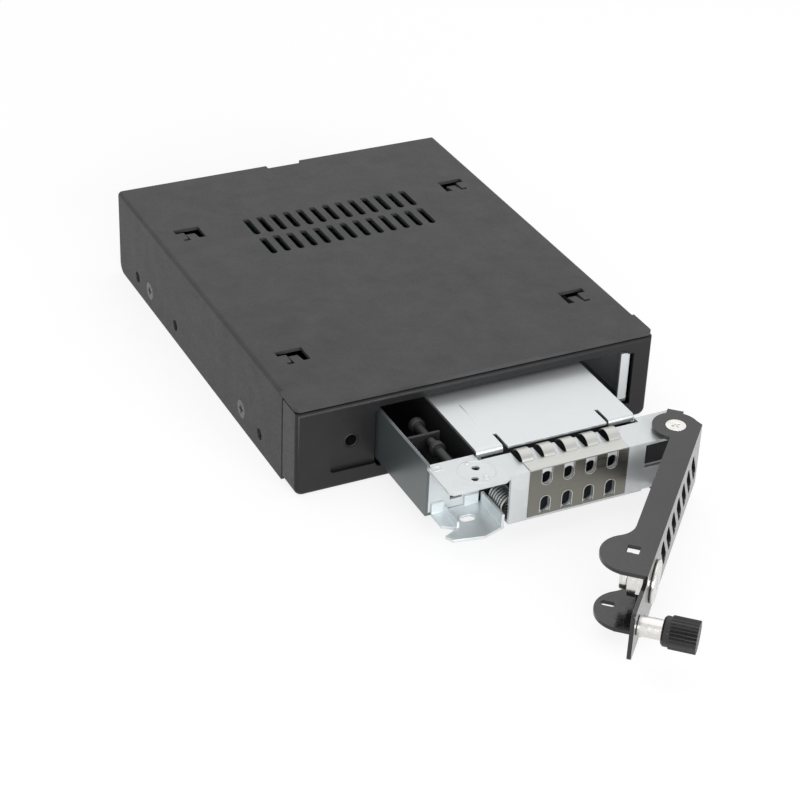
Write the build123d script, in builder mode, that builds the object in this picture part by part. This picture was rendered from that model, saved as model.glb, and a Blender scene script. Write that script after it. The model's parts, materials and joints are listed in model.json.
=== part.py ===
"""Hot-swap drive mounting frame for a 3.5 inch bay, tray drawn out and lever open.

Origin: middle of the housing's underside. +X right, +Y to the rear, +Z up, millimetres.
"""
import os
from math import cos, radians, sin

from build123d import *

os.makedirs("parts", exist_ok=True)

# Housing for one 3.5 inch bay
BAY_WIDTH = 101.6
BAY_HEIGHT = 25.4
HOUSING_DEPTH = 128.0
STEEL = 1.0
FOLD_RADIUS = 1.2
SEAT_GAP = 0.05
LID_GAP = 0.3
SEAM_GAP = 0.7
BEZEL_RETURN = 8.3
COVER_SETBACK = 0.4
COVER_FRONT_RADIUS = 1.6
COVER_REAR_RADIUS = 3.0
BEZEL_CORNER_RADIUS = 2.2
FLANGE_HEIGHT = 9.0

# Vents, hook slots and rear notch in the cover
VENT_COUNT = 13
VENT_PITCH = 4.05
VENT_WIDTH = 2.0
VENT_LENGTH = 9.9
VENT_ROW_PITCH = 12.0
VENT_CENTRE_X = 0.7
VENT_REAR_DISTANCE = 40.2
REAR_VENT_DROP = 5.0
HOOK_BAR_LENGTH = 7.4
HOOK_BAR_WIDTH = 2.2
HOOK_LEG_LENGTH = 6.3
HOOK_LEG_WIDTH = 1.9
HOOK_NICK = 0.95
HOOK_NECK = 0.5
HOOK_TAB_SINK = 0.7
HOOK_EDGE = 5.9
HOOK_FRONT_Y = 27.9
HOOK_REAR_DISTANCE = 28.5
NOTCH_WIDTH = 10.6
NOTCH_DEPTH = 1.6
NOTCH_CENTRE_X = 0.5

# Side mounting holes, M3, and the cover's own screws
SIDE_HOLE_Z = 5.0
SIDE_HOLE_PITCHES = (60.0, 30.0)
SIDE_HOLE_FRONT_SPARE = 23.3
SIDE_HOLE_REAR_SPARE = 14.7
SIDE_CLEARANCE_RADIUS = 1.6
SIDE_THREAD_RADIUS = 1.25
SIDE_COLLAR_RADIUS = 2.3
SIDE_COLLAR_LENGTH = 2.0
COVER_SCREW_RADIUS = 1.5
COVER_SCREW_HEAD_RADIUS = 2.6
COVER_SCREW_LENGTH = 4.0
COVER_SCREW_Z = 5.5
COVER_SCREW_AFTER_FIRST = 12.2
COVER_SCREW_BEFORE_LAST = 9.9
PIN_FIT = 0.05
SHAFT_FIT = 0.08
CROSS_LENGTH = 2.4
CROSS_WIDTH = 0.5
CROSS_DEPTH = 0.5

# Front opening, and the recess for the lever's end
OPENING_LEFT = 22.0
OPENING_RIGHT = 5.4
OPENING_BOTTOM = 3.7
OPENING_DROP = 4.0
OPENING_RADIUS = 1.0
OPENING_END = 1.8
RECESS_LEFT = 9.4
RECESS_STEP = 1.1
CATCH_X = 15.45
CATCH_HOLE_RADIUS = 2.0
CATCH_NUT_WALL = 2.0
CATCH_NUT_LENGTH = 4.0
CATCH_FIT = 0.3

# Guide rails
RAIL_GAP = 0.3
RAIL_THICKNESS = 1.5
RAIL_LEDGE = 2.8
RAIL_FRONT_Y = 15.0
RAIL_OVERRUN = 4.0
RAIL_FOOT = 1.5
RAIL_CAP = 1.6

# Backplane and its connectors
BOARD_THICKNESS = 1.6
BOARD_MARGIN = 1.6
BOARD_SCREW_RADIUS = 1.0
BOARD_SCREW_HEAD_RADIUS = 1.9
BOARD_SCREW_HEAD = 1.2
BOARD_BOSS = 6.0
DRIVE_PLUG_WIDTH = 34.0
DRIVE_PLUG_HEIGHT = 5.0
DRIVE_PLUG_LENGTH = 9.0
DRIVE_PLUG_RADIUS = 0.6
DRIVE_SLOT_HEIGHT = 1.8
DATA_PORT_MARGIN = 1.95
DATA_PORT_WIDTH = 20.0
DATA_PORT_HEIGHT = 8.0
POWER_PORT_MARGIN = 14.55
POWER_PORT_WIDTH = 24.0
POWER_PORT_HEIGHT = 7.0
PORT_WALL = 1.0
PORT_TONGUE_INSET = 3.0
PORT_REACH = 0.8
PORT_CLEARANCE = 0.4
PORT_Z = 11.0

# Tray, of galvanised sheet; its Y sizes are from the bezel's face with the tray shut
TRAY_TRAVEL = 41.0
TRAY_STEEL = 0.8
TRAY_SIDE_GAP = 0.65
TRAY_LIFT = 0.2
TRAY_TOP_GAP = 1.4
TRAY_REAR_SPACE = 14.0
RIGHT_WALL_Y = 42.0
RIGHT_LIP = 2.6
HEAD_GAP = 0.6
HEAD_FRONT_Y = 3.7
HEAD_REAR_Y = 12.8
LATCH_WALL_Y = 14.7
LATCH_FRONT_Y = 2.4
LATCH_CORNER = 1.0
LATCH_SLOPE = 2.0
LATCH_WALL_RIGHT = 37.3
FRONT_WALL_LEFT = 39.7
FRONT_WALL_RIGHT = 18.9
EAR_REACH = 4.0
EAR_REAR_Y = 14.8
EAR_CORNER_X = 2.7
EAR_CORNER_Y = 4.2
WING_HEIGHT = 6.4
WING_SETBACK = 0.6
WING_MARGIN = 1.6
SHELF_HOLES = ((33.3, 10.1, 1.0), (31.0, 6.0, 0.9))
WALL_SLOT_X = 30.95
WALL_SLOT_WIDTH = 3.3
WALL_SLOT_HEIGHT = 1.8
WALL_SLOT_RISE = 4.1
HEAD_WINDOW_MARGIN = 0.5

# Drive carrier and its cover plate
PLATE_TOP_GAP = 0.7
PLATE_LEFT = 35.8
PLATE_RIGHT = 16.1
PLATE_FRONT_Y = 14.4
PLATE_DROP = 1.9
PLATE_FOLD = 1.1
PLATE_REACH = 0.6
SLIT_INSET = 7.8
SLIT_LENGTH = 5.8
SLIT_WIDTH = 0.9
CARRIER_WALL = 1.5
CARRIER_FLOOR = 1.2

# Shielding clip on the tray's front
CLIP_STEEL = 0.2
CLIP_LEFT = 5.0
CLIP_RIGHT = 5.0
CLIP_LIFT = 0.8
FINGER_PITCH = 6.07
FINGER_WIDTH = 3.2
FINGER_FOOT_Y = 7.6
FINGER_CREST_Y = 11.1
FINGER_TIP_Y = 13.1
FINGER_CREST_GAP = 0.3
CLIP_HOLE_WIDTH = 2.7
UPPER_HOLE_DROP = 2.4
UPPER_HOLE_HEIGHT = 4.6
LOWER_HOLE_RISE = 3.8
LOWER_HOLE_HEIGHT = 4.6
AIR_HOLE_MARGIN = 0.5

# Latch bracket and latch spring under the latch shelf; outline from the bezel's left edge
LATCH_PLATE_FRONT = ((24.0, 8.6), (27.1, 6.4), (22.9, 4.4), (24.0, 2.2), (32.0, 0.7), (38.1, 2.8))
LATCH_TAB_HEIGHT = 3.6
LATCH_TAB_WIDTHS = ((24.0, 27.4), (33.0, 36.8))
LATCH_EYE = (31.4, 9.2)
LATCH_EYE_LENGTH = 4.0
LATCH_EYE_WIDTH = 2.6
LATCH_RIGHT_RISE = 4.0
LATCH_LEFT_RISE = 2.4
COIL_RADIUS = 2.9
COIL_WIRE = 0.6
COIL_FRONT_Y = 5.0
COIL_LENGTH = 7.5

# Lever, its pivot and its opening angle in the pose shown
LEVER_ANGLE = 47.0
PIVOT_INSET = 9.4
LEVER_STEEL = 1.0
LEVER_TOP_GAP = 0.4
LEVER_BOTTOM_GAP = 0.3
LEVER_END_GAP = 0.4
LEVER_PROUD = 0.4
LEVER_FACE = 6.2
LEVER_HEEL = 2.54
LEVER_INNER = 0.3
PIVOT_LOBE_RADIUS = 5.9
HEEL_CORNER = (5.5, -2.2)
TOOTH_REACH = 6.9
TOOTH_LOW = -0.7
TOOTH_HIGH = 3.4
END_LOBE_RADIUS = 7.4
END_LOBE_Y = -1.0
LOBE_BLEND = 6.0
TAB_END_GAP = 0.7
TAB_HEIGHT = 12.7
TAB_CORNER = 1.0
TAB_GAP = 0.45
SLOT_MARGIN = 1.0
SLOT_PITCH = 6.3
SLOT_WIDTH = 3.0
SLOT_LENGTH = 12.5
SLOT_LEAN = 40.0
SLOT_FIRST = 4.6
PIVOT_HEAD_RADIUS = 2.62
PIVOT_SHANK_RADIUS = 2.0
SPACER_CORNER = 1.0
SPACER_LIFT = 0.9
SPACER_SETBACK = 0.2
SQUARE_HOLE = 3.0
SQUARE_HOLE_INSET = 9.1
LOWER_SLOT_INSET = 8.5
LOWER_SLOT_Y = 3.4
LOWER_SLOT_LENGTH = 3.6
LOWER_SLOT_WIDTH = 1.8

# Key lock in the lever
LOCK_INSET = 10.4
LOCK_RADIUS = 4.5
LOCK_RIM_RADIUS = 5.2
LOCK_RIM = 0.8
LOCK_DEPTH = 4.4
PLUG_RADIUS = 3.2
NUT_WIDTH = 11.0
NUT_THICKNESS = 2.0
CAM_THICKNESS = 1.7
CAM_LENGTH = 5.0
CAM_WIDTH = 4.6
KEYWAY_WIDTH = 0.9
KEYWAY_LENGTH = 3.6
KEYWAY_DEPTH = 4.0

# Captive thumb screw in the lever's end
SLEEVE_RADIUS = 2.4
SLEEVE_LENGTH = 5.7
SLEEVE_SHANK_RADIUS = 2.0
SCREW_RADIUS = 1.25
SCREW_TRAVEL = 5.0
KNOB_RADIUS = 3.85
KNOB_LENGTH = 6.2
KNOB_OVERLAP = 0.1
COLLAR_RADIUS = 3.5
COLLAR_CHAMFER = 0.5
COLLAR_LENGTH = 1.8
KNOB_GROOVES = 26
GROOVE_DEPTH = 0.3
SPRING_SHUT = 1.1
SPRING_WALL = 0.5
SPRING_SIDE_GAP = 0.3

# Push rod beside the carrier
ROD_X = 30.3
ROD_DROP = 1.6
ROD_RADIUS = 1.2
ROD_FRONT_REACH = 0.6
ROD_REAR_Y = 37.0
ROD_CAP_LENGTH = 2.2
ROD_TRAVEL = 3.0
ROD_COLLAR_RADIUS = 2.0
ROD_COLLAR_LENGTH = 1.6
BRACKET_Y = 28.5
BRACKET_WIDTH = 5.6
BRACKET_HEAD = 1.9
BRACKET_STEEL = 0.8

# Places worked out from the sizes above
LEFT = -BAY_WIDTH / 2
RIGHT = BAY_WIDTH / 2
FRONT = -HOUSING_DEPTH / 2
REAR = HOUSING_DEPTH / 2
COVER_UNDER = BAY_HEIGHT - STEEL
INNER_TOP = COVER_UNDER - SEAT_GAP
BEZEL_TOP = COVER_UNDER - LID_GAP
SEAM_Y = FRONT + BEZEL_RETURN + SEAM_GAP
OPENING_TOP = BAY_HEIGHT - OPENING_DROP
OPEN_X = (LEFT + OPENING_LEFT, RIGHT - OPENING_RIGHT)
RECESS_BOTTOM = OPENING_BOTTOM + RECESS_STEP
RECESS_TOP = OPENING_TOP - RECESS_STEP
RECESS_DEPTH = LEVER_STEEL - LEVER_PROUD + TAB_GAP
CATCH_Z = (RECESS_BOTTOM + RECESS_TOP) / 2
HOOK_YS = (FRONT + HOOK_FRONT_Y, REAR - HOOK_REAR_DISTANCE)

# The side holes keep their pitches and share the spare depth before and behind them
SPARE_SHARE = SIDE_HOLE_FRONT_SPARE / (SIDE_HOLE_FRONT_SPARE + SIDE_HOLE_REAR_SPARE)
SIDE_HOLE_YS = [FRONT + (HOUSING_DEPTH - sum(SIDE_HOLE_PITCHES)) * SPARE_SHARE]
for pitch in SIDE_HOLE_PITCHES:
    SIDE_HOLE_YS.append(SIDE_HOLE_YS[-1] + pitch)
COVER_SCREW_YS = (SIDE_HOLE_YS[0] + COVER_SCREW_AFTER_FIRST, SIDE_HOLE_YS[-1] - COVER_SCREW_BEFORE_LAST)

# Lever heights, then the tray's, which fits between its flanges
LEVER_TOP = OPENING_TOP - LEVER_TOP_GAP
LEVER_BOTTOM = OPENING_BOTTOM + LEVER_BOTTOM_GAP
LEVER_MIDDLE = (LEVER_TOP + LEVER_BOTTOM) / 2
TRAY_BOTTOM = LEVER_BOTTOM + LEVER_STEEL + TRAY_LIFT
TRAY_FLOOR_TOP = TRAY_BOTTOM + TRAY_STEEL
TRAY_TOP = OPENING_TOP - TRAY_TOP_GAP
TRAY_X = (OPEN_X[0] + TRAY_SIDE_GAP, OPEN_X[1] - TRAY_SIDE_GAP)
HEAD_TOP = LEVER_TOP - LEVER_STEEL - HEAD_GAP
HEAD_UNDER = HEAD_TOP - TRAY_STEEL
PLATE_TOP = OPENING_TOP - PLATE_TOP_GAP
TRAY_DEPTH = HOUSING_DEPTH - TRAY_REAR_SPACE

# The board's screws stand in the rails beside the tray, and the rear ports between them
BOARD_SCREW_XS = (TRAY_X[0] - RAIL_GAP - RAIL_THICKNESS, TRAY_X[1] + RAIL_GAP + RAIL_THICKNESS)
DATA_PORT_X = BOARD_SCREW_XS[0] + DATA_PORT_MARGIN + DATA_PORT_WIDTH / 2
POWER_PORT_X = BOARD_SCREW_XS[1] - POWER_PORT_MARGIN - POWER_PORT_WIDTH / 2
PORTS = (("data_port", DATA_PORT_X, DATA_PORT_WIDTH, DATA_PORT_HEIGHT),
         ("power_inlet", POWER_PORT_X, POWER_PORT_WIDTH, POWER_PORT_HEIGHT))

# Line of the bezel's face, carried out with the tray
OUT = FRONT - TRAY_TRAVEL
PIVOT = (OPEN_X[1] - PIVOT_INSET, OUT - LEVER_PROUD + LEVER_FACE)
LEVER_REACH = PIVOT[0] - OPEN_X[0] - LEVER_END_GAP
TAB_REACH = PIVOT[0] - (LEFT + RECESS_LEFT) - TAB_END_GAP
CATCH_REACH = PIVOT[0] - (LEFT + CATCH_X)


def block(x, y, z, mode=Mode.ADD):
    """Box that spans three (low, high) pairs."""
    middle = tuple((low + high) / 2 for low, high in (x, y, z))
    with Locations(middle):
        Box(*[high - low for low, high in (x, y, z)], mode=mode)


def rod(radius, start, end, axis, mode=Mode.ADD):
    """Cylinder along one axis, from a point to a value on that axis."""
    along = {"x": 0, "y": 1, "z": 2}[axis]
    length = abs(end - start[along])
    middle = list(start)
    middle[along] = (start[along] + end) / 2
    turn = {"x": (0, 90, 0), "y": (90, 0, 0), "z": (0, 0, 0)}[axis]
    with Locations(Location(middle, turn)):
        Cylinder(radius, length, mode=mode)


def save(part, name):
    """Label one finished piece and write its STEP file."""
    part.label = name
    export_step(part, f"parts/{name}.step")


def lever_plane(height):
    """Plane at the pivot, its X along the lever towards the heel, open by the angle shown."""
    turn = radians(LEVER_ANGLE)
    return Plane(origin=(*PIVOT, height), x_dir=(cos(turn), sin(turn), 0), z_dir=(0, 0, 1))


def face_plane(depth):
    """Plane across the lever at a depth from the pivot, positive towards the tray, facing outwards."""
    turn = radians(LEVER_ANGLE)
    outward = Vector(sin(turn), -cos(turn), 0)
    centre = Vector(*PIVOT, 0) - outward * depth
    return Plane(origin=centre, x_dir=(cos(turn), sin(turn), 0), z_dir=outward)


def across(radius, x, z, near, far, mode=Mode.ADD):
    """Cylinder across the lever between two depths from the pivot."""
    with BuildSketch(face_plane(near)) as disc:
        with Locations((x, z)):
            Circle(radius)
    extrude(disc.sketch, amount=near - far, mode=mode)


# Cover: top sheet with both side walls folded down
with BuildPart() as cover:
    with BuildSketch(Plane.XZ.offset(-SEAM_Y)) as channel:
        with Locations((0, BAY_HEIGHT / 2)):
            Rectangle(BAY_WIDTH, BAY_HEIGHT)
        fillet(channel.vertices().group_by(Axis.Y)[-1], FOLD_RADIUS)
        with Locations((0, COVER_UNDER / 2)):
            Rectangle(BAY_WIDTH - 2 * STEEL, COVER_UNDER, mode=Mode.SUBTRACT)
    extrude(amount=-(REAR - SEAM_Y))
    low_rear = cover.edges().filter_by(Axis.X).group_by(Axis.Y)[-1].group_by(Axis.Z)[0]
    fillet(low_rear, COVER_REAR_RADIUS)
    # The top sheet runs on over the bezel
    lip_front = FRONT + COVER_SETBACK
    lip_rear = SEAM_Y + STEEL
    with BuildSketch(Plane.XY.offset(COVER_UNDER)) as lip:
        with Locations((0, (lip_front + lip_rear) / 2)):
            Rectangle(BAY_WIDTH - 2 * SEAT_GAP, lip_rear - lip_front)
        fillet(lip.vertices().group_by(Axis.Y)[0], COVER_FRONT_RADIUS)
    extrude(amount=STEEL)
    # Two rows of cooling slots
    with BuildSketch(Plane.XY.offset(BAY_HEIGHT)):
        with Locations((VENT_CENTRE_X, REAR - VENT_REAR_DISTANCE)):
            with GridLocations(VENT_PITCH, VENT_ROW_PITCH, VENT_COUNT, 2):
                SlotOverall(VENT_LENGTH, VENT_WIDTH, rotation=90)
    extrude(amount=-STEEL, mode=Mode.SUBTRACT)
    # Four angled hook slots, mirrored left and right
    with BuildSketch(Plane.XY.offset(BAY_HEIGHT)):
        for side in (-1, 1):
            inner_x = BAY_WIDTH / 2 - HOOK_EDGE - HOOK_BAR_LENGTH
            bar_x = side * (inner_x + HOOK_BAR_LENGTH / 2)
            leg_x = side * (inner_x + HOOK_LEG_WIDTH / 2)
            nick_x = side * (inner_x + HOOK_BAR_LENGTH - HOOK_LEG_WIDTH)
            neck_x = nick_x - side * (HOOK_LEG_WIDTH - HOOK_NECK) / 2
            for hook_y in HOOK_YS:
                with Locations((bar_x, hook_y - HOOK_BAR_WIDTH / 2)):
                    Rectangle(HOOK_BAR_LENGTH, HOOK_BAR_WIDTH)
                with Locations((leg_x, hook_y - HOOK_LEG_LENGTH / 2)):
                    Rectangle(HOOK_LEG_WIDTH, HOOK_LEG_LENGTH)
                with Locations((nick_x, hook_y - HOOK_LEG_LENGTH)):
                    Rectangle(HOOK_LEG_WIDTH, HOOK_NICK)
                with Locations((neck_x, hook_y - HOOK_LEG_LENGTH / 2)):
                    Rectangle(HOOK_NECK, HOOK_LEG_LENGTH)
    extrude(amount=-STEEL, mode=Mode.SUBTRACT)
    # The tab between leg and neck is pressed down towards its free rear edge
    for side in (-1, 1):
        tab_near = BAY_WIDTH / 2 - HOOK_EDGE - HOOK_BAR_LENGTH + HOOK_LEG_WIDTH
        tab_far = BAY_WIDTH / 2 - HOOK_EDGE - HOOK_LEG_WIDTH * 3 / 2
        for hook_y in HOOK_YS:
            tab_rear = hook_y - HOOK_BAR_WIDTH
            tab_root = hook_y - HOOK_LEG_LENGTH
            block(sorted((side * tab_near, side * tab_far)), (tab_root, tab_rear), (COVER_UNDER, BAY_HEIGHT),
                  mode=Mode.SUBTRACT)
            with BuildSketch(Plane.YZ.offset(min(side * tab_near, side * tab_far))) as tab_side:
                with BuildLine():
                    Polyline((tab_root, COVER_UNDER), (tab_rear, COVER_UNDER - HOOK_TAB_SINK),
                             (tab_rear, BAY_HEIGHT - HOOK_TAB_SINK), (tab_root, BAY_HEIGHT), close=True)
                make_face()
            extrude(tab_side.sketch, amount=tab_far - tab_near)
    # Notch in the rear edge
    block((NOTCH_CENTRE_X - NOTCH_WIDTH / 2, NOTCH_CENTRE_X + NOTCH_WIDTH / 2),
          (REAR - NOTCH_DEPTH, REAR), (COVER_UNDER, BAY_HEIGHT), mode=Mode.SUBTRACT)
    # Side holes and countersunk screw seats
    for hole_y in SIDE_HOLE_YS:
        rod(SIDE_CLEARANCE_RADIUS, (LEFT, hole_y, SIDE_HOLE_Z), RIGHT, "x", mode=Mode.SUBTRACT)
    for side, inward, turn in ((LEFT, 1, 90), (RIGHT, -1, -90)):
        for screw_y in COVER_SCREW_YS:
            seat = (side + inward * STEEL / 2, screw_y, COVER_SCREW_Z)
            with Locations(Location(seat, (0, turn, 0))):
                Cone(COVER_SCREW_HEAD_RADIUS + PIN_FIT, COVER_SCREW_RADIUS + PIN_FIT, STEEL,
                     mode=Mode.SUBTRACT)
save(cover.part, "cover")

# Cover screws: four countersunk screws, one group
with BuildPart() as cover_screws:
    for side, inward, turn in ((LEFT, 1, 90), (RIGHT, -1, -90)):
        for screw_y in COVER_SCREW_YS:
            head = (side + inward * STEEL / 2, screw_y, COVER_SCREW_Z)
            with Locations(Location(head, (0, turn, 0))):
                Cone(COVER_SCREW_HEAD_RADIUS, COVER_SCREW_RADIUS, STEEL)
            rod(COVER_SCREW_RADIUS, (side + inward * STEEL, screw_y, COVER_SCREW_Z),
                side + inward * COVER_SCREW_LENGTH, "x")
            with Locations((side, screw_y, COVER_SCREW_Z)):
                Box(2 * CROSS_DEPTH, CROSS_WIDTH, CROSS_LENGTH, mode=Mode.SUBTRACT)
                Box(2 * CROSS_DEPTH, CROSS_LENGTH, CROSS_WIDTH, mode=Mode.SUBTRACT)
save(cover_screws.part, "cover_screws")

# Chassis: floor, rear wall and side flanges that carry the threaded holes
chassis_x = (LEFT + STEEL + SEAT_GAP, RIGHT - STEEL - SEAT_GAP)
chassis_front = FRONT + BEZEL_RETURN + SEAT_GAP
with BuildPart() as chassis:
    block(chassis_x, (chassis_front, REAR), (0, STEEL))
    block(chassis_x, (REAR - STEEL, REAR), (0, INNER_TOP))
    for edge, inward in ((chassis_x[0], 1), (chassis_x[1], -1)):
        block(sorted((edge, edge + inward * STEEL)), (chassis_front, REAR), (0, FLANGE_HEIGHT))
        collar_end = edge + inward * SIDE_COLLAR_LENGTH
        for hole_y in SIDE_HOLE_YS:
            rod(SIDE_COLLAR_RADIUS, (edge, hole_y, SIDE_HOLE_Z), collar_end, "x")
            rod(SIDE_THREAD_RADIUS, (edge, hole_y, SIDE_HOLE_Z), collar_end, "x", mode=Mode.SUBTRACT)
        for screw_y in COVER_SCREW_YS:
            rod(COVER_SCREW_RADIUS + PIN_FIT, (edge, screw_y, COVER_SCREW_Z),
                edge + inward * STEEL, "x", mode=Mode.SUBTRACT)
    # Rear openings for the two ports, with a row of small vents above
    for _, port_x, width, height in PORTS:
        with Locations((port_x, REAR - STEEL / 2, PORT_Z)):
            Box(width + 2 * PORT_CLEARANCE, STEEL, height + 2 * PORT_CLEARANCE, mode=Mode.SUBTRACT)
    with BuildSketch(Plane.XZ.offset(-REAR)):
        with Locations((0, BAY_HEIGHT - REAR_VENT_DROP)):
            with GridLocations(VENT_PITCH, 1, VENT_COUNT, 1):
                Circle(VENT_WIDTH / 2)
    extrude(amount=STEEL, mode=Mode.SUBTRACT)
save(chassis.part, "chassis")

# Bezel: folded front frame with the tray opening and the recess for the lever's end
with BuildPart() as bezel:
    block((LEFT, RIGHT), (FRONT, FRONT + BEZEL_RETURN), (0, BEZEL_TOP))
    fillet(bezel.edges().filter_by(Axis.Y).group_by(Axis.Z)[0], BEZEL_CORNER_RADIUS)
    fillet(bezel.faces().sort_by(Axis.Y)[0].edges(), FOLD_RADIUS)
    block((LEFT + STEEL, RIGHT - STEEL), (FRONT + STEEL, FRONT + BEZEL_RETURN),
          (STEEL, BEZEL_TOP - STEEL), mode=Mode.SUBTRACT)
    # Step behind the recess
    block((LEFT + RECESS_LEFT - STEEL, OPEN_X[0]), (FRONT + STEEL / 2, FRONT + RECESS_DEPTH + STEEL),
          (RECESS_BOTTOM - STEEL, RECESS_TOP + STEEL))
    with BuildSketch(Plane.XZ.offset(-FRONT)) as opening:
        with Locations(((OPEN_X[0] + OPEN_X[1] - OPENING_END) / 2, (OPENING_BOTTOM + OPENING_TOP) / 2)):
            Rectangle(OPEN_X[1] - OPENING_END - OPEN_X[0], OPENING_TOP - OPENING_BOTTOM)
        fillet(opening.vertices(), OPENING_RADIUS)
        # Its right end is as low as the recess
        with Locations((OPEN_X[1] - OPENING_END, CATCH_Z)):
            Rectangle(2 * OPENING_END, RECESS_TOP - RECESS_BOTTOM)
    extrude(amount=-BEZEL_RETURN, mode=Mode.SUBTRACT)
    # The recess runs into the opening
    recess_x = (LEFT + RECESS_LEFT, OPEN_X[0] + 2 * OPENING_RADIUS)
    with BuildSketch(Plane.XZ.offset(-FRONT)) as recess:
        with Locations((sum(recess_x) / 2, CATCH_Z)):
            Rectangle(recess_x[1] - recess_x[0], RECESS_TOP - RECESS_BOTTOM)
        fillet(recess.vertices().group_by(Axis.X)[0], OPENING_RADIUS)
    extrude(amount=-RECESS_DEPTH, mode=Mode.SUBTRACT)
    rod(CATCH_HOLE_RADIUS, (LEFT + CATCH_X, FRONT, CATCH_Z), FRONT + RECESS_DEPTH + STEEL, "y",
        mode=Mode.SUBTRACT)
save(bezel.part, "bezel")

# Catch nut: pressed into the recess floor, takes the thumb screw
nut_front = FRONT + RECESS_DEPTH + STEEL + SEAT_GAP
nut_rear = nut_front + CATCH_NUT_LENGTH
nut_bore = SCREW_RADIUS + CATCH_FIT
with BuildPart() as catch_nut:
    rod(CATCH_HOLE_RADIUS - SEAT_GAP, (LEFT + CATCH_X, FRONT + RECESS_DEPTH + SEAT_GAP, CATCH_Z),
        nut_rear, "y")
    rod(nut_bore + CATCH_NUT_WALL, (LEFT + CATCH_X, nut_front, CATCH_Z), nut_rear, "y")
    rod(nut_bore, (LEFT + CATCH_X, FRONT, CATCH_Z), nut_rear, "y", mode=Mode.SUBTRACT)
save(catch_nut.part, "catch_nut")

# Guide rails: plastic channels in which the tray slides
rail_y = (FRONT + RAIL_FRONT_Y, FRONT + TRAY_DEPTH + RAIL_OVERRUN)
rail_z = (STEEL + SEAT_GAP, INNER_TOP)
ledge_top = TRAY_BOTTOM - RAIL_GAP
cap_low = TRAY_TOP + RAIL_GAP
boss_low = SIDE_HOLE_Z + SIDE_COLLAR_RADIUS + RAIL_GAP + BOARD_BOSS / 2
BOARD_SCREW_ZS = (boss_low, rail_z[1] - BOARD_BOSS / 2)
for rail_name, tray_side, outward in (("left_rail", TRAY_X[0], -1), ("right_rail", TRAY_X[1], 1)):
    face = tray_side + outward * RAIL_GAP
    back = face + outward * RAIL_THICKNESS
    foot = back + outward * RAIL_FOOT
    with BuildPart() as rail:
        block(sorted((face, back)), rail_y, rail_z)
        block(sorted((face, face - outward * RAIL_LEDGE)), rail_y, (rail_z[0], ledge_top))
        block(sorted((face, face - outward * RAIL_LEDGE / 2)), rail_y, (cap_low, cap_low + RAIL_CAP))
        block(sorted((back, foot)), rail_y, (rail_z[0], rail_z[0] + STEEL))
        for boss_z in BOARD_SCREW_ZS:
            block(sorted((face, foot)), (rail_y[1] - BOARD_BOSS, rail_y[1]),
                  (boss_z - BOARD_BOSS / 2, boss_z + BOARD_BOSS / 2))
            rod(BOARD_SCREW_RADIUS + PIN_FIT, (back, rail_y[1] - BOARD_BOSS, boss_z),
                rail_y[1], "y", mode=Mode.SUBTRACT)
    save(rail.part, rail_name)

# Backplane board, screwed to the rear ends of the rails
board_front = rail_y[1] + SEAT_GAP
board_rear = board_front + BOARD_THICKNESS
board_x = (BOARD_SCREW_XS[0] - BOARD_MARGIN, BOARD_SCREW_XS[1] + BOARD_MARGIN)
with BuildPart() as backplane:
    block(board_x, (board_front, board_rear), rail_z)
    for screw_x in BOARD_SCREW_XS:
        for screw_z in BOARD_SCREW_ZS:
            rod(BOARD_SCREW_RADIUS + PIN_FIT, (screw_x, board_front, screw_z), board_rear, "y",
                mode=Mode.SUBTRACT)
save(backplane.part, "backplane")

# Board screws: four, one group
head_start = board_rear + SEAT_GAP
with BuildPart() as board_screws:
    for screw_x in BOARD_SCREW_XS:
        for screw_z in BOARD_SCREW_ZS:
            rod(BOARD_SCREW_RADIUS, (screw_x, rail_y[1] - BOARD_BOSS / 2, screw_z), head_start, "y")
            rod(BOARD_SCREW_HEAD_RADIUS, (screw_x, head_start, screw_z),
                head_start + BOARD_SCREW_HEAD, "y")
save(board_screws.part, "board_screws")

# Drive connector on the board's front, in line with the carrier
carrier_x = (LEFT + PLATE_LEFT, OPEN_X[1] - PLATE_RIGHT)
plug_x = sum(carrier_x) / 2
plug_z = (TRAY_FLOOR_TOP + PLATE_TOP) / 2
plug_front = board_front - SEAT_GAP - DRIVE_PLUG_LENGTH
with BuildPart() as drive_connector:
    block((plug_x - DRIVE_PLUG_WIDTH / 2, plug_x + DRIVE_PLUG_WIDTH / 2),
          (plug_front, board_front - SEAT_GAP),
          (plug_z - DRIVE_PLUG_HEIGHT / 2, plug_z + DRIVE_PLUG_HEIGHT / 2))
    fillet(drive_connector.edges().filter_by(Axis.Y), DRIVE_PLUG_RADIUS)
    with Locations((plug_x, plug_front, plug_z)):
        Box(DRIVE_PLUG_WIDTH - 4 * PORT_WALL, DRIVE_PLUG_LENGTH, DRIVE_SLOT_HEIGHT, mode=Mode.SUBTRACT)
save(drive_connector.part, "drive_connector")

# Rear ports: a shielded data port and a power inlet, open to the rear
port_y = (board_rear + SEAT_GAP, REAR + PORT_REACH)
for port_name, port_x, width, height in PORTS:
    half, low, high = width / 2, PORT_Z - height / 2, PORT_Z + height / 2
    tongue = half - PORT_TONGUE_INSET
    with BuildPart() as port:
        block((port_x - half, port_x + half), port_y, (low, high))
        block((port_x - half + PORT_WALL, port_x + half - PORT_WALL), (port_y[0] + PORT_WALL, port_y[1]),
              (low + PORT_WALL, high - PORT_WALL), mode=Mode.SUBTRACT)
        # Contact tongue in the middle of the port
        block((port_x - tongue, port_x + tongue), (port_y[0], port_y[1] - PORT_WALL),
              (PORT_Z - PORT_WALL / 2, PORT_Z + PORT_WALL / 2))
    save(port.part, port_name)

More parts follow.
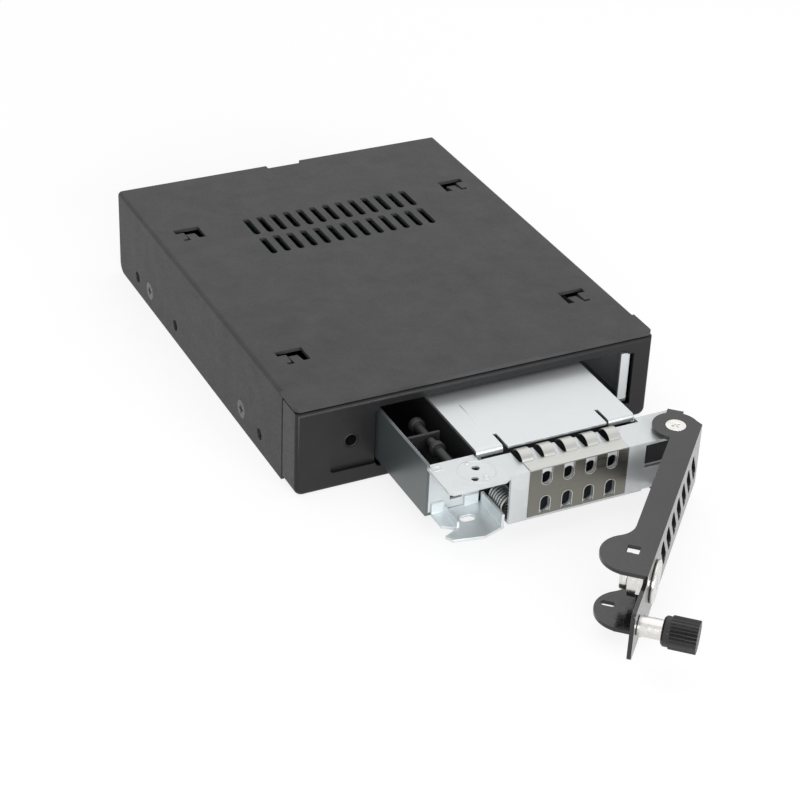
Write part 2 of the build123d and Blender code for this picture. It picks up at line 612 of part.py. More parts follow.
# Tray: folded sheet with floor, walls and the front head
tray_rear = OUT + TRAY_DEPTH
head_front = OUT + HEAD_FRONT_Y
head_rear = OUT + HEAD_REAR_Y
latch_front = OUT + LATCH_FRONT_Y
latch_wall = OUT + LATCH_WALL_Y
latch_wall_rear = latch_wall + TRAY_STEEL
latch_wall_right = LEFT + LATCH_WALL_RIGHT
front_wall_x = (LEFT + FRONT_WALL_LEFT, OPEN_X[1] - FRONT_WALL_RIGHT)
wing_right = PIVOT[0] + PIVOT_SHANK_RADIUS + WING_MARGIN
wing_front = head_front + WING_SETBACK
wing_top = TRAY_BOTTOM + WING_HEIGHT
ear_right = PIVOT[0] + EAR_REACH
ear_rear = OUT + EAR_REAR_Y
finger_foot = OUT + FINGER_FOOT_Y
finger_tip = OUT + FINGER_TIP_Y
clip_room = (front_wall_x[0] + CLIP_LEFT, front_wall_x[1] - CLIP_RIGHT)
finger_count = int((clip_room[1] - clip_room[0] - FINGER_WIDTH) / FINGER_PITCH) + 1
finger_xs = [sum(clip_room) / 2 + (i - (finger_count - 1) / 2) * FINGER_PITCH for i in range(finger_count)]
hole_xs = [x + FINGER_PITCH / 2 for x in finger_xs[:-1]]
rod_x = LEFT + ROD_X
rod_z = HEAD_UNDER - ROD_DROP
with BuildPart() as tray:
    # Floor, wide at the rear and narrower beside the lever's swing
    right_wall = OUT + RIGHT_WALL_Y
    block(TRAY_X, (right_wall, tray_rear), (TRAY_BOTTOM, TRAY_FLOOR_TOP))
    block((TRAY_X[0], wing_right), (latch_wall, right_wall), (TRAY_BOTTOM, TRAY_FLOOR_TOP))
    block((front_wall_x[0], wing_right), (wing_front, latch_wall), (TRAY_BOTTOM, TRAY_FLOOR_TOP))
    # Left wall, and the right wall, which starts behind the lever and has a bright front lip
    block((TRAY_X[0], TRAY_X[0] + TRAY_STEEL), (latch_wall, tray_rear), (TRAY_BOTTOM, TRAY_TOP))
    block((TRAY_X[1] - TRAY_STEEL, TRAY_X[1]), (right_wall, tray_rear), (TRAY_BOTTOM, TRAY_TOP))
    block((TRAY_X[1] - RIGHT_LIP, TRAY_X[1]), (right_wall, right_wall + TRAY_STEEL), (TRAY_BOTTOM, TRAY_TOP))
    # Latch wall at the front left
    block((TRAY_X[0], latch_wall_right), (latch_wall, latch_wall_rear), (TRAY_BOTTOM, HEAD_TOP))
    # Top flange of the head: latch shelf, middle strip and pivot ear
    plate_left = carrier_x[0] - RAIL_GAP
    plate_right = carrier_x[1] + RAIL_GAP
    with BuildSketch(Plane.XY.offset(HEAD_UNDER)):
        with BuildLine():
            Polyline((TRAY_X[0], latch_wall_rear),
                     (TRAY_X[0], latch_front + LATCH_CORNER),
                     (TRAY_X[0] + LATCH_CORNER, latch_front),
                     (front_wall_x[0] - LATCH_SLOPE, latch_front),
                     (front_wall_x[0], head_front),
                     (PIVOT[0] + EAR_CORNER_X, head_front),
                     (ear_right, PIVOT[1] + EAR_CORNER_Y),
                     (ear_right, ear_rear),
                     (plate_right, ear_rear),
                     (plate_right, head_rear),
                     (plate_left, head_rear),
                     (plate_left, latch_wall_rear),
                     close=True)
        make_face()
    extrude(amount=TRAY_STEEL)
    # Step in the latch wall under the cover plate
    block((plate_left, latch_wall_right), (latch_wall, latch_wall_rear),
          (PLATE_TOP - PLATE_DROP - RAIL_GAP, HEAD_TOP), mode=Mode.SUBTRACT)
    # Front wall, and the wing in front of the pivot
    block(front_wall_x, (head_front, head_front + TRAY_STEEL), (TRAY_BOTTOM, HEAD_TOP))
    block((front_wall_x[1], wing_right), (wing_front, wing_front + TRAY_STEEL), (TRAY_BOTTOM, wing_top))
    # Air holes behind the shielding clip
    with BuildSketch(Plane.XZ.offset(-head_front)):
        for x in hole_xs:
            with Locations((x, HEAD_TOP - UPPER_HOLE_DROP - AIR_HOLE_MARGIN)):
                SlotOverall(UPPER_HOLE_HEIGHT - 2 * AIR_HOLE_MARGIN, CLIP_HOLE_WIDTH, rotation=90)
            with Locations((x, TRAY_BOTTOM + LOWER_HOLE_RISE)):
                SlotOverall(LOWER_HOLE_HEIGHT, CLIP_HOLE_WIDTH, rotation=90)
    extrude(amount=-TRAY_STEEL, mode=Mode.SUBTRACT)
    # Windows under the clip's fingers
    for x in finger_xs:
        reach = FINGER_WIDTH / 2 + HEAD_WINDOW_MARGIN
        block((x - reach, x + reach), (finger_foot + HEAD_WINDOW_MARGIN, head_rear),
              (HEAD_UNDER, HEAD_TOP), mode=Mode.SUBTRACT)
    # Latch shelf holes, the slot in the latch wall, and holes for the push rod and the pivot
    for hole_x, hole_y, radius in SHELF_HOLES:
        rod(radius, (LEFT + hole_x, OUT + hole_y, HEAD_UNDER), HEAD_TOP, "z", mode=Mode.SUBTRACT)
    with Locations((LEFT + WALL_SLOT_X, (latch_wall + latch_wall_rear) / 2, TRAY_BOTTOM + WALL_SLOT_RISE)):
        Box(WALL_SLOT_WIDTH, TRAY_STEEL, WALL_SLOT_HEIGHT, mode=Mode.SUBTRACT)
    rod(ROD_RADIUS + SHAFT_FIT, (rod_x, latch_wall, rod_z), latch_wall_rear, "y", mode=Mode.SUBTRACT)
    rod(PIVOT_SHANK_RADIUS + PIN_FIT, (*PIVOT, TRAY_BOTTOM), HEAD_TOP, "z", mode=Mode.SUBTRACT)
save(tray.part, "tray")

# Pivot screw: journal for the lever at both ends
with BuildPart() as pivot_screw:
    rod(PIVOT_SHANK_RADIUS, (*PIVOT, LEVER_BOTTOM), HEAD_TOP + SEAT_GAP, "z")
    rod(PIVOT_HEAD_RADIUS, (*PIVOT, HEAD_TOP + SEAT_GAP), LEVER_TOP + SEAT_GAP, "z")
    with Locations((*PIVOT, LEVER_TOP + SEAT_GAP)):
        Box(CROSS_LENGTH, CROSS_WIDTH, 2 * CROSS_DEPTH, mode=Mode.SUBTRACT)
        Box(CROSS_WIDTH, CROSS_LENGTH, 2 * CROSS_DEPTH, mode=Mode.SUBTRACT)
save(pivot_screw.part, "pivot_screw")

# Pivot spacer: plastic block between the ear and the wing
with BuildPart() as pivot_spacer:
    block((front_wall_x[1] + RAIL_GAP, wing_right - RAIL_GAP), (wing_front + SPACER_SETBACK, ear_rear),
          (wing_top + SPACER_LIFT, HEAD_UNDER - SEAT_GAP))
    fillet(pivot_spacer.edges().filter_by(Axis.Z), SPACER_CORNER)
    rod(PIVOT_SHANK_RADIUS + PIN_FIT, (*PIVOT, TRAY_BOTTOM), HEAD_TOP, "z", mode=Mode.SUBTRACT)
save(pivot_spacer.part, "pivot_spacer")

# Drive carrier: plastic tunnel under the cover plate, with a floor strip beside it
carrier_front = latch_wall_rear + SEAT_GAP
carrier_z = (TRAY_FLOOR_TOP + SEAT_GAP, PLATE_TOP - TRAY_STEEL - SEAT_GAP)
carrier_floor = carrier_z[0] + CARRIER_FLOOR
with BuildPart() as drive_carrier:
    block(carrier_x, (carrier_front, tray_rear), carrier_z)
    block((carrier_x[0] + CARRIER_WALL, carrier_x[1] - CARRIER_WALL),
          (carrier_front + CARRIER_WALL, tray_rear), (carrier_floor, carrier_z[1]), mode=Mode.SUBTRACT)
    block((TRAY_X[0] + TRAY_STEEL + SEAT_GAP, carrier_x[0]), (carrier_front, tray_rear),
          (carrier_z[0], carrier_floor))
save(drive_carrier.part, "drive_carrier")

# Cover plate over the carrier, with a folded front edge and two slits
plate_front = OUT + PLATE_FRONT_Y
with BuildPart() as drive_plate:
    with BuildSketch(Plane.YZ.offset(carrier_x[0])) as side_view:
        with Locations(((plate_front + tray_rear) / 2, PLATE_TOP - PLATE_DROP / 2)):
            Rectangle(tray_rear - plate_front, PLATE_DROP)
        fillet(side_view.vertices().group_by(Axis.X)[0].sort_by(Axis.Y)[-1], PLATE_FOLD)
        with Locations(((plate_front + TRAY_STEEL + tray_rear) / 2, PLATE_TOP - TRAY_STEEL - PLATE_DROP / 2)):
            Rectangle(tray_rear - plate_front - TRAY_STEEL, PLATE_DROP, mode=Mode.SUBTRACT)
    extrude(amount=carrier_x[1] - carrier_x[0])
    # Between its two slits the front edge isn't folded, and reaches to the clip's fingers
    plate_reach = plate_front - PLATE_REACH
    block((carrier_x[0] + SLIT_INSET, carrier_x[1] - SLIT_INSET), (plate_front, plate_front + PLATE_FOLD),
          (PLATE_TOP - PLATE_DROP, PLATE_TOP), mode=Mode.SUBTRACT)
    block((carrier_x[0] + SLIT_INSET, carrier_x[1] - SLIT_INSET), (plate_reach, plate_front + PLATE_FOLD),
          (PLATE_TOP - TRAY_STEEL, PLATE_TOP))
    for slit_x in (carrier_x[0] + SLIT_INSET, carrier_x[1] - SLIT_INSET):
        block((slit_x - SLIT_WIDTH / 2, slit_x + SLIT_WIDTH / 2), (plate_reach, plate_front + SLIT_LENGTH),
              (PLATE_TOP - PLATE_DROP, PLATE_TOP), mode=Mode.SUBTRACT)
save(drive_plate.part, "drive_plate")

# Shielding clip: spring steel, folded over the head's edge, with arched fingers
clip_x = (finger_xs[0] - FINGER_WIDTH / 2, finger_xs[-1] + FINGER_WIDTH / 2)
clip_face = head_front - SEAT_GAP
strip_low = HEAD_TOP + SEAT_GAP
strip_top = strip_low + CLIP_STEEL
crest = (OUT + FINGER_CREST_Y, OPENING_TOP - FINGER_CREST_GAP)
with BuildPart() as shield_clip:
    block(clip_x, (clip_face - CLIP_STEEL, clip_face), (TRAY_BOTTOM + CLIP_LIFT, strip_low))
    block(clip_x, (clip_face - CLIP_STEEL, finger_foot), (strip_low, strip_top))
    for x in finger_xs:
        with BuildSketch(Plane.YZ.offset(x - FINGER_WIDTH / 2)):
            with BuildLine():
                ThreePointArc((finger_foot, strip_top), crest, (finger_tip, strip_top))
                Line((finger_tip, strip_top), (finger_tip - CLIP_STEEL, strip_low))
                ThreePointArc((finger_tip - CLIP_STEEL, strip_low), (crest[0], crest[1] - CLIP_STEEL),
                              (finger_foot, strip_low))
                Line((finger_foot, strip_low), (finger_foot, strip_top))
            make_face()
        extrude(amount=FINGER_WIDTH)
    with BuildSketch(Plane.XZ.offset(-clip_face)):
        for x in hole_xs:
            with Locations((x, HEAD_TOP - UPPER_HOLE_DROP)):
                SlotOverall(UPPER_HOLE_HEIGHT, CLIP_HOLE_WIDTH, rotation=90)
            with Locations((x, TRAY_BOTTOM + LOWER_HOLE_RISE)):
                SlotOverall(LOWER_HOLE_HEIGHT, CLIP_HOLE_WIDTH, rotation=90)
            # The upper holes are square at the fold, and the lower ones at the bottom edge
            with Locations((x, HEAD_TOP - UPPER_HOLE_DROP + UPPER_HOLE_HEIGHT / 4)):
                Rectangle(CLIP_HOLE_WIDTH, UPPER_HOLE_HEIGHT / 2)
            with Locations((x, TRAY_BOTTOM + LOWER_HOLE_RISE - LOWER_HOLE_HEIGHT / 4)):
                Rectangle(CLIP_HOLE_WIDTH, LOWER_HOLE_HEIGHT / 2)
    extrude(amount=CLIP_STEEL, mode=Mode.SUBTRACT)
save(shield_clip.part, "shield_clip")

# Latch plate: flat bracket under the latch shelf, with two tabs against the latch wall
latch_plate_rear = latch_wall - SEAT_GAP
front_points = [(LEFT + x, OUT + y) for x, y in LATCH_PLATE_FRONT]
with BuildPart() as latch_plate:
    with BuildSketch(Plane.XY.offset(TRAY_BOTTOM)):
        with BuildLine():
            Polyline((front_points[0][0], latch_plate_rear), *front_points,
                     (front_points[-1][0], latch_plate_rear), close=True)
        make_face()
        with Locations((LEFT + LATCH_EYE[0], OUT + LATCH_EYE[1])):
            SlotOverall(LATCH_EYE_LENGTH, LATCH_EYE_WIDTH, mode=Mode.SUBTRACT)
    extrude(amount=TRAY_STEEL)
    # Upturned edges, the right one higher
    right_edge = front_points[-1][0]
    block((right_edge - TRAY_STEEL, right_edge), (front_points[-1][1], latch_plate_rear - TRAY_STEEL),
          (TRAY_BOTTOM, TRAY_BOTTOM + LATCH_RIGHT_RISE))
    left_edge = front_points[1][0]
    block((left_edge, left_edge + TRAY_STEEL), (front_points[1][1], latch_plate_rear - TRAY_STEEL),
          (TRAY_BOTTOM, TRAY_BOTTOM + LATCH_LEFT_RISE))
    for tab_left, tab_right in LATCH_TAB_WIDTHS:
        block((LEFT + tab_left, LEFT + tab_right), (latch_plate_rear - TRAY_STEEL, latch_plate_rear),
              (TRAY_BOTTOM, TRAY_BOTTOM + LATCH_TAB_HEIGHT))
save(latch_plate.part, "latch_plate")

# Latch spring: coil that lies on the floor behind the front wall's left end
coil_y = (OUT + COIL_FRONT_Y, OUT + COIL_FRONT_Y + COIL_LENGTH)
coil_x = front_wall_x[0] + COIL_RADIUS / 2
coil_z = TRAY_FLOOR_TOP + SEAT_GAP + COIL_RADIUS
with BuildPart() as latch_spring:
    rod(COIL_RADIUS, (coil_x, coil_y[0], coil_z), coil_y[1], "y")
    rod(COIL_RADIUS - COIL_WIRE, (coil_x, coil_y[0], coil_z), coil_y[1], "y", mode=Mode.SUBTRACT)
save(latch_spring.part, "latch_spring")

# Rod bracket, folded from strip, on the left wall
bracket_y = OUT + BRACKET_Y
bracket_z = (rod_z - BRACKET_WIDTH / 2, rod_z + BRACKET_HEAD)
bracket_left = TRAY_X[0] + TRAY_STEEL + SEAT_GAP
with BuildPart() as rod_bracket:
    block((bracket_left, rod_x + BRACKET_WIDTH / 2), (bracket_y, bracket_y + BRACKET_STEEL), bracket_z)
    block((bracket_left, bracket_left + BRACKET_STEEL), (bracket_y, bracket_y + BRACKET_WIDTH), bracket_z)
    rod(ROD_RADIUS + SHAFT_FIT, (rod_x, bracket_y, rod_z), bracket_y + BRACKET_STEEL, "y",
        mode=Mode.SUBTRACT)
save(rod_bracket.part, "rod_bracket")

# Push rod: slides in the latch wall and the bracket, with a collar that stops it and a cap
rod_y = (latch_wall - ROD_FRONT_REACH, OUT + ROD_REAR_Y)
collar_end = bracket_y - ROD_TRAVEL - RAIL_GAP
with BuildPart() as push_rod:
    rod(ROD_RADIUS, (rod_x, rod_y[0], rod_z), rod_y[1], "y")
    rod(ROD_COLLAR_RADIUS, (rod_x, collar_end - ROD_COLLAR_LENGTH, rod_z), collar_end, "y")
    rod(ROD_COLLAR_RADIUS, (rod_x, rod_y[1] - ROD_CAP_LENGTH, rod_z), rod_y[1], "y")
    fillet(push_rod.faces().sort_by(Axis.Y)[-1].edges(), ROD_RADIUS / 2)
save(push_rod.part, "push_rod")

# Lever: folded channel with a vented face, a round lobe at the lock and teeth at the pivot
lever_inner_face = LEVER_STEEL - LEVER_FACE
lock_x = LOCK_INSET - LEVER_REACH
slot_half = (SLOT_LENGTH - SLOT_WIDTH) / 2 * sin(radians(SLOT_LEAN)) + SLOT_WIDTH / 2
slot_room = -lock_x - LOCK_RIM_RADIUS - SLOT_MARGIN - slot_half - SLOT_FIRST
slot_count = int(slot_room / SLOT_PITCH) + 1
lobe_x = END_LOBE_RADIUS - LEVER_REACH
square_x = SQUARE_HOLE_INSET - LEVER_REACH
with BuildPart() as lever:
    for bottom in (LEVER_BOTTOM, LEVER_TOP - LEVER_STEEL):
        with BuildSketch(lever_plane(bottom)) as flange:
            with BuildLine():
                Polyline((-LEVER_REACH, -LEVER_FACE), (LEVER_HEEL, -LEVER_FACE), HEEL_CORNER,
                         (PIVOT_LOBE_RADIUS, LEVER_INNER), (-LEVER_REACH, LEVER_INNER), close=True)
            make_face()
            Circle(PIVOT_LOBE_RADIUS)
            with Locations((TOOTH_REACH / 2, (TOOTH_LOW + TOOTH_HIGH) / 2)):
                Rectangle(TOOTH_REACH, TOOTH_HIGH - TOOTH_LOW)
            with Locations((lobe_x, END_LOBE_Y)):
                Circle(END_LOBE_RADIUS)
            # The lobe ends at the face, and runs into the flange with a concave blend
            with Locations((lobe_x, -LEVER_FACE - END_LOBE_RADIUS / 2)):
                Rectangle(4 * END_LOBE_RADIUS, END_LOBE_RADIUS, mode=Mode.SUBTRACT)
            blend_at = (lobe_x + END_LOBE_RADIUS, LEVER_INNER, 0)
            fillet(flange.vertices().sort_by_distance(blend_at)[0], LOBE_BLEND)
        extrude(amount=LEVER_STEEL)
    # Vented outer face, and the tab for the thumb screw
    with BuildSketch(face_plane(-LEVER_FACE)) as face_outline:
        with Locations(((LEVER_HEEL - LEVER_REACH) / 2, LEVER_MIDDLE)):
            Rectangle(LEVER_HEEL + LEVER_REACH, LEVER_TOP - LEVER_BOTTOM)
        with Locations((-(TAB_REACH + LEVER_REACH) / 2, CATCH_Z)):
            Rectangle(TAB_REACH - LEVER_REACH, TAB_HEIGHT)
        fillet(face_outline.vertices().group_by(Axis.X)[0], TAB_CORNER)
        for i in range(slot_count):
            with Locations((-SLOT_FIRST - i * SLOT_PITCH, LEVER_MIDDLE)):
                SlotOverall(SLOT_LENGTH, SLOT_WIDTH, rotation=90 + SLOT_LEAN, mode=Mode.SUBTRACT)
    extrude(amount=-LEVER_STEEL)
    # Holes for the pivot, the latch, the lock and the thumb screw
    for bottom, radius in ((LEVER_BOTTOM, PIVOT_SHANK_RADIUS), (LEVER_TOP - LEVER_STEEL, PIVOT_HEAD_RADIUS)):
        rod(radius + SHAFT_FIT, (*PIVOT, bottom), bottom + LEVER_STEEL, "z", mode=Mode.SUBTRACT)
    with BuildSketch(lever_plane(LEVER_TOP - LEVER_STEEL)):
        with Locations((square_x, END_LOBE_Y)):
            Rectangle(SQUARE_HOLE, SQUARE_HOLE)
    extrude(amount=LEVER_STEEL, mode=Mode.SUBTRACT)
    with BuildSketch(lever_plane(LEVER_BOTTOM)):
        with Locations((LOWER_SLOT_INSET - LEVER_REACH, LOWER_SLOT_Y)):
            SlotOverall(LOWER_SLOT_LENGTH, LOWER_SLOT_WIDTH, rotation=90)
    extrude(amount=LEVER_STEEL, mode=Mode.SUBTRACT)
    across(LOCK_RADIUS + PIN_FIT, lock_x, LEVER_MIDDLE, -LEVER_FACE, lever_inner_face, Mode.SUBTRACT)
    across(SLEEVE_SHANK_RADIUS + PIN_FIT, -CATCH_REACH, CATCH_Z, -LEVER_FACE, lever_inner_face,
           Mode.SUBTRACT)
save(lever.part, "lever")

# Lock barrel, with its rim outside the face, and the nut behind the face
rim_face = -LEVER_FACE - SEAT_GAP
barrel_front = rim_face - LOCK_RIM
barrel_rear = lever_inner_face + LOCK_DEPTH
with BuildPart() as lock_barrel:
    across(LOCK_RIM_RADIUS, lock_x, LEVER_MIDDLE, barrel_front, rim_face)
    across(LOCK_RADIUS, lock_x, LEVER_MIDDLE, rim_face, barrel_rear)
    across(PLUG_RADIUS + SHAFT_FIT, lock_x, LEVER_MIDDLE, barrel_front, barrel_rear, Mode.SUBTRACT)
save(lock_barrel.part, "lock_barrel")

with BuildPart() as lock_nut:
    with BuildSketch(face_plane(lever_inner_face + SEAT_GAP)):
        with Locations((lock_x, LEVER_MIDDLE)):
            RegularPolygon(NUT_WIDTH / 2, 6, major_radius=False)
            Circle(LOCK_RADIUS + PIN_FIT, mode=Mode.SUBTRACT)
    extrude(amount=-NUT_THICKNESS)
save(lock_nut.part, "lock_nut")

# Lock plug with keyway, and the cam on its rear end
plug_end = barrel_rear + RAIL_GAP
with BuildPart() as lock_plug:
    across(PLUG_RADIUS, lock_x, LEVER_MIDDLE, barrel_front, plug_end)
    with BuildSketch(face_plane(barrel_front)):
        with Locations((lock_x, LEVER_MIDDLE)):
            Rectangle(KEYWAY_WIDTH, KEYWAY_LENGTH)
    extrude(amount=-KEYWAY_DEPTH, mode=Mode.SUBTRACT)
save(lock_plug.part, "lock_plug")

with BuildPart() as lock_cam:
    with BuildSketch(face_plane(plug_end + SEAT_GAP)):
        with Locations((lock_x, LEVER_MIDDLE)):
            Circle(PLUG_RADIUS)
        with Locations((lock_x, LEVER_MIDDLE + CAM_LENGTH / 2)):
            Rectangle(CAM_WIDTH, CAM_LENGTH)
    extrude(amount=-CAM_THICKNESS)
save(lock_cam.part, "lock_cam")

# Sleeve of the thumb screw, flanged against the tab
sleeve_end = -LEVER_FACE - SLEEVE_LENGTH
with BuildPart() as screw_sleeve:
    across(SLEEVE_RADIUS, -CATCH_REACH, CATCH_Z, sleeve_end, rim_face)
    across(SLEEVE_SHANK_RADIUS, -CATCH_REACH, CATCH_Z, rim_face, lever_inner_face)
    across(SCREW_RADIUS + SHAFT_FIT, -CATCH_REACH, CATCH_Z, sleeve_end, lever_inner_face, Mode.SUBTRACT)
save(screw_sleeve.part, "screw_sleeve")

# Thumb screw: collar, fluted knob with a pocket for the sleeve and the spring, and the shaft
knob_mouth = sleeve_end + KNOB_OVERLAP
collar_face = knob_mouth - COLLAR_LENGTH
knob_end = collar_face - KNOB_LENGTH
pocket_end = sleeve_end - SCREW_TRAVEL - SPRING_SHUT - SEAT_GAP
with BuildPart() as thumb_screw:
    across(COLLAR_RADIUS, -CATCH_REACH, CATCH_Z, collar_face, knob_mouth)
    chamfer(thumb_screw.edges().filter_by(GeomType.CIRCLE).sort_by_distance(face_plane(0).origin)[0],
            COLLAR_CHAMFER)
    with BuildSketch(face_plane(knob_end)) as fluted:
        with Locations((-CATCH_REACH, CATCH_Z)):
            Circle(KNOB_RADIUS)
            with PolarLocations(KNOB_RADIUS, KNOB_GROOVES):
                Rectangle(2 * GROOVE_DEPTH, 2 * GROOVE_DEPTH, rotation=45, mode=Mode.SUBTRACT)
    extrude(amount=-KNOB_LENGTH)
    across(SLEEVE_RADIUS + SHAFT_FIT, -CATCH_REACH, CATCH_Z, pocket_end, knob_mouth, Mode.SUBTRACT)
    across(SCREW_RADIUS, -CATCH_REACH, CATCH_Z, pocket_end, lever_inner_face)
save(thumb_screw.part, "thumb_screw")

# Thumb spring: coil that pushes the screw out, drawn as its shut sleeve at the pocket's end
spring_radius = SLEEVE_RADIUS - SPRING_SIDE_GAP
with BuildPart() as thumb_spring:
    across(spring_radius, -CATCH_REACH, CATCH_Z, pocket_end + SEAT_GAP, pocket_end + SPRING_SHUT)
    across(spring_radius - SPRING_WALL, -CATCH_REACH, CATCH_Z, pocket_end, pocket_end + SPRING_SHUT,
           Mode.SUBTRACT)
save(thumb_spring.part, "thumb_spring")
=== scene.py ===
"""Looks for the hot-swap drive mounting frame: a black housing with its tray drawn out and lever open."""
import json
import math

import bpy
from mathutils import Matrix, Vector

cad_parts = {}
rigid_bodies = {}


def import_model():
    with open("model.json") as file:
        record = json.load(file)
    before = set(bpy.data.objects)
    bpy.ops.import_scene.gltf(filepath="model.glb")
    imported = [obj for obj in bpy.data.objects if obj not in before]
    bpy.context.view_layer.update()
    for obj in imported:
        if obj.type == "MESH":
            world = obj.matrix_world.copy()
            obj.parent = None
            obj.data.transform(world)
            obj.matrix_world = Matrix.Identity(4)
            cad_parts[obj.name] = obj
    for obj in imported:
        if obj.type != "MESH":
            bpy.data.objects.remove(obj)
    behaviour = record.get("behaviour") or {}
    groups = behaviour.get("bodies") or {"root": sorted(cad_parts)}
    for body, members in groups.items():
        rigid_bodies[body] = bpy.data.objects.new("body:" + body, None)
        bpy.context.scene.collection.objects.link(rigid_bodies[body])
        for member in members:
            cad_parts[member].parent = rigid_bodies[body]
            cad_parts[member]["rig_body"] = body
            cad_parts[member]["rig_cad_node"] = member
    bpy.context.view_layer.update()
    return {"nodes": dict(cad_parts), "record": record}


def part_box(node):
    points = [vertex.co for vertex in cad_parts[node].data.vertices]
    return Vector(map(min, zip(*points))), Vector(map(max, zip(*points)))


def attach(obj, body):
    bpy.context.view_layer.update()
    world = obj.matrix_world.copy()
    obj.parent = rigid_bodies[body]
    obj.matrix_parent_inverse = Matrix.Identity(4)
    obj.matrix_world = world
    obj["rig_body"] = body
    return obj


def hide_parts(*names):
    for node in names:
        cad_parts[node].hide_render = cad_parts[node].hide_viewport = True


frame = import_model()
nodes = frame["nodes"]
MM = 0.001
MERGE_DISTANCE = 0.002 * MM
FLAT_ANGLE = math.radians(0.5)
BEVEL_ANGLE = math.radians(40)
BODY_OF = {node: body for body, members in frame["record"]["behaviour"]["bodies"].items() for node in members}


# Small helpers

def only(obj):
    """Select one object and make it the active one."""
    bpy.ops.object.select_all(action="DESELECT")
    obj.hide_viewport = False
    obj.select_set(True)
    bpy.context.view_layer.objects.active = obj


def settle(obj):
    """Put an object's place into its mesh, so that it sits at the origin."""
    only(obj)
    bpy.ops.object.transform_apply(location=True, rotation=True, scale=True)


def add_modifier(obj, kind, **values):
    """Add a modifier, set it and apply it."""
    only(obj)
    modifier = obj.modifiers.new(kind.title(), kind)
    for key, value in values.items():
        setattr(modifier, key, value)
    bpy.ops.object.modifier_apply(modifier=modifier.name)


def smooth(obj, degrees=35):
    """Shade smooth, but keep the edges that are sharper than the angle."""
    only(obj)
    bpy.ops.object.shade_smooth_by_angle(angle=math.radians(degrees))


def even_shading(obj):
    """Let the large flat faces set the shading beside their rounded edges."""
    add_modifier(obj, "WEIGHTED_NORMAL", keep_sharp=True)


def dress(obj, material, body, slot, *replaced):
    """Give a finished piece its material, its body and the nodes that it stands for; its slot is not used."""
    obj.data.materials.clear()
    obj.data.materials.append(material)
    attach(obj, body)
    if replaced:
        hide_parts(*replaced)


def merged_copy(node, name):
    """A copy of a CAD node's mesh, with its loose triangles joined into flat faces."""
    obj = nodes[node].copy()
    obj.data = nodes[node].data.copy()
    obj.name = name
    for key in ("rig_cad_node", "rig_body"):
        del obj[key]
    obj.parent = None
    bpy.context.scene.collection.objects.link(obj)
    only(obj)
    bpy.ops.object.mode_set(mode="EDIT")
    bpy.ops.mesh.select_all(action="SELECT")
    bpy.ops.mesh.remove_doubles(threshold=MERGE_DISTANCE)
    bpy.ops.mesh.dissolve_limited(angle_limit=FLAT_ANGLE)
    bpy.ops.object.mode_set(mode="OBJECT")
    return obj


def soften(obj, width, segments=2):
    """Round every sharp edge of a piece."""
    add_modifier(obj, "BEVEL", width=width * MM, segments=segments, limit_method="ANGLE",
                 angle_limit=BEVEL_ANGLE, use_clamp_overlap=True)


def rounded(node, width, material, slot, segments=2):
    """The node's own shape with its sharp edges rounded, in place of the node."""
    obj = merged_copy(node, node + "_rounded")
    soften(obj, width, segments)
    smooth(obj)
    even_shading(obj)
    dress(obj, material, BODY_OF[node], slot, node)


# Painted shade colours of some finishes, and the places where they begin

# Painted shade: the slate-dark colour on the tray's left wall and floor, and the limits of where it lies
SLATE_PAINTED_SHADE = (0.13, 0.15, 0.155)
WALL_SHADE_X = -27.4 * MM
LATCH_WALL_Y = -90.35 * MM
FRONT_WALL_Y = -100.45 * MM
FLOOR_SHADE_Z = 6.03 * MM
# Painted shade on the shielding clip's face below its fold
CLIP_FACE_SHADE = (0.205, 0.20, 0.175)
CLIP_FOLD_Z = 19.3 * MM
# Painted shade: black on the chassis flanges behind the seam and inside the data port
PAINTED_SHADE_BLACK = (0.008, 0.008, 0.009)
CHASSIS_FLOOR_Z = 1.5 * MM
SEAM_BACK_Y = -54.0 * MM
PORT_MOUTH_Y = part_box("data_port")[1][1] - 0.5 * MM


# Materials, with scales in cells per metre

# The middle part of a noise factor, over which a value or colour runs from one end to the other
NOISE_LOW, NOISE_HIGH = 0.25, 0.75
# The colour sockets of a mix node, which share their names with its sockets for other kinds
MIX_FACTOR, MIX_FIRST, MIX_SECOND, MIX_RESULT = 0, 6, 7, 2


def new_material(name, colour, metallic, roughness):
    """A principled material and the parts that are needed to add to it."""
    material = bpy.data.materials.new(name)
    material.use_nodes = True
    tree = material.node_tree
    shader = tree.nodes["Principled BSDF"]
    shader.inputs["Base Color"].default_value = (*colour, 1)
    shader.inputs["Metallic"].default_value = metallic
    shader.inputs["Roughness"].default_value = roughness
    place = tree.nodes.new("ShaderNodeTexCoord")
    return material, tree, shader, place.outputs["Object"]


def stretched(tree, place, scale):
    """Coordinates that are scaled along each axis, for grain that runs one way."""
    mapping = tree.nodes.new("ShaderNodeMapping")
    mapping.inputs["Scale"].default_value = scale
    tree.links.new(place, mapping.inputs["Vector"])
    return mapping.outputs["Vector"]


def noise(tree, place, scale, detail):
    """Noise factor with a number of cells per metre."""
    texture = tree.nodes.new("ShaderNodeTexNoise")
    texture.inputs["Scale"].default_value = scale
    texture.inputs["Detail"].default_value = detail
    tree.links.new(place, texture.inputs["Vector"])
    return texture.outputs["Fac"]


def cells(tree, place, scale):
    """Random grey for each cell of a broken pattern, such as zinc spangle."""
    texture = tree.nodes.new("ShaderNodeTexVoronoi")
    texture.inputs["Scale"].default_value = scale
    tree.links.new(place, texture.inputs["Vector"])
    grey = tree.nodes.new("ShaderNodeSeparateColor")
    tree.links.new(texture.outputs["Color"], grey.inputs["Color"])
    return grey.outputs["Red"]


def between(tree, factor, low, high):
    """A value that runs between two numbers with a factor."""
    spread = tree.nodes.new("ShaderNodeMapRange")
    spread.inputs["From Min"].default_value = NOISE_LOW
    spread.inputs["From Max"].default_value = NOISE_HIGH
    spread.inputs["To Min"].default_value = low
    spread.inputs["To Max"].default_value = high
    tree.links.new(factor, spread.inputs["Value"])
    return spread.outputs["Result"]


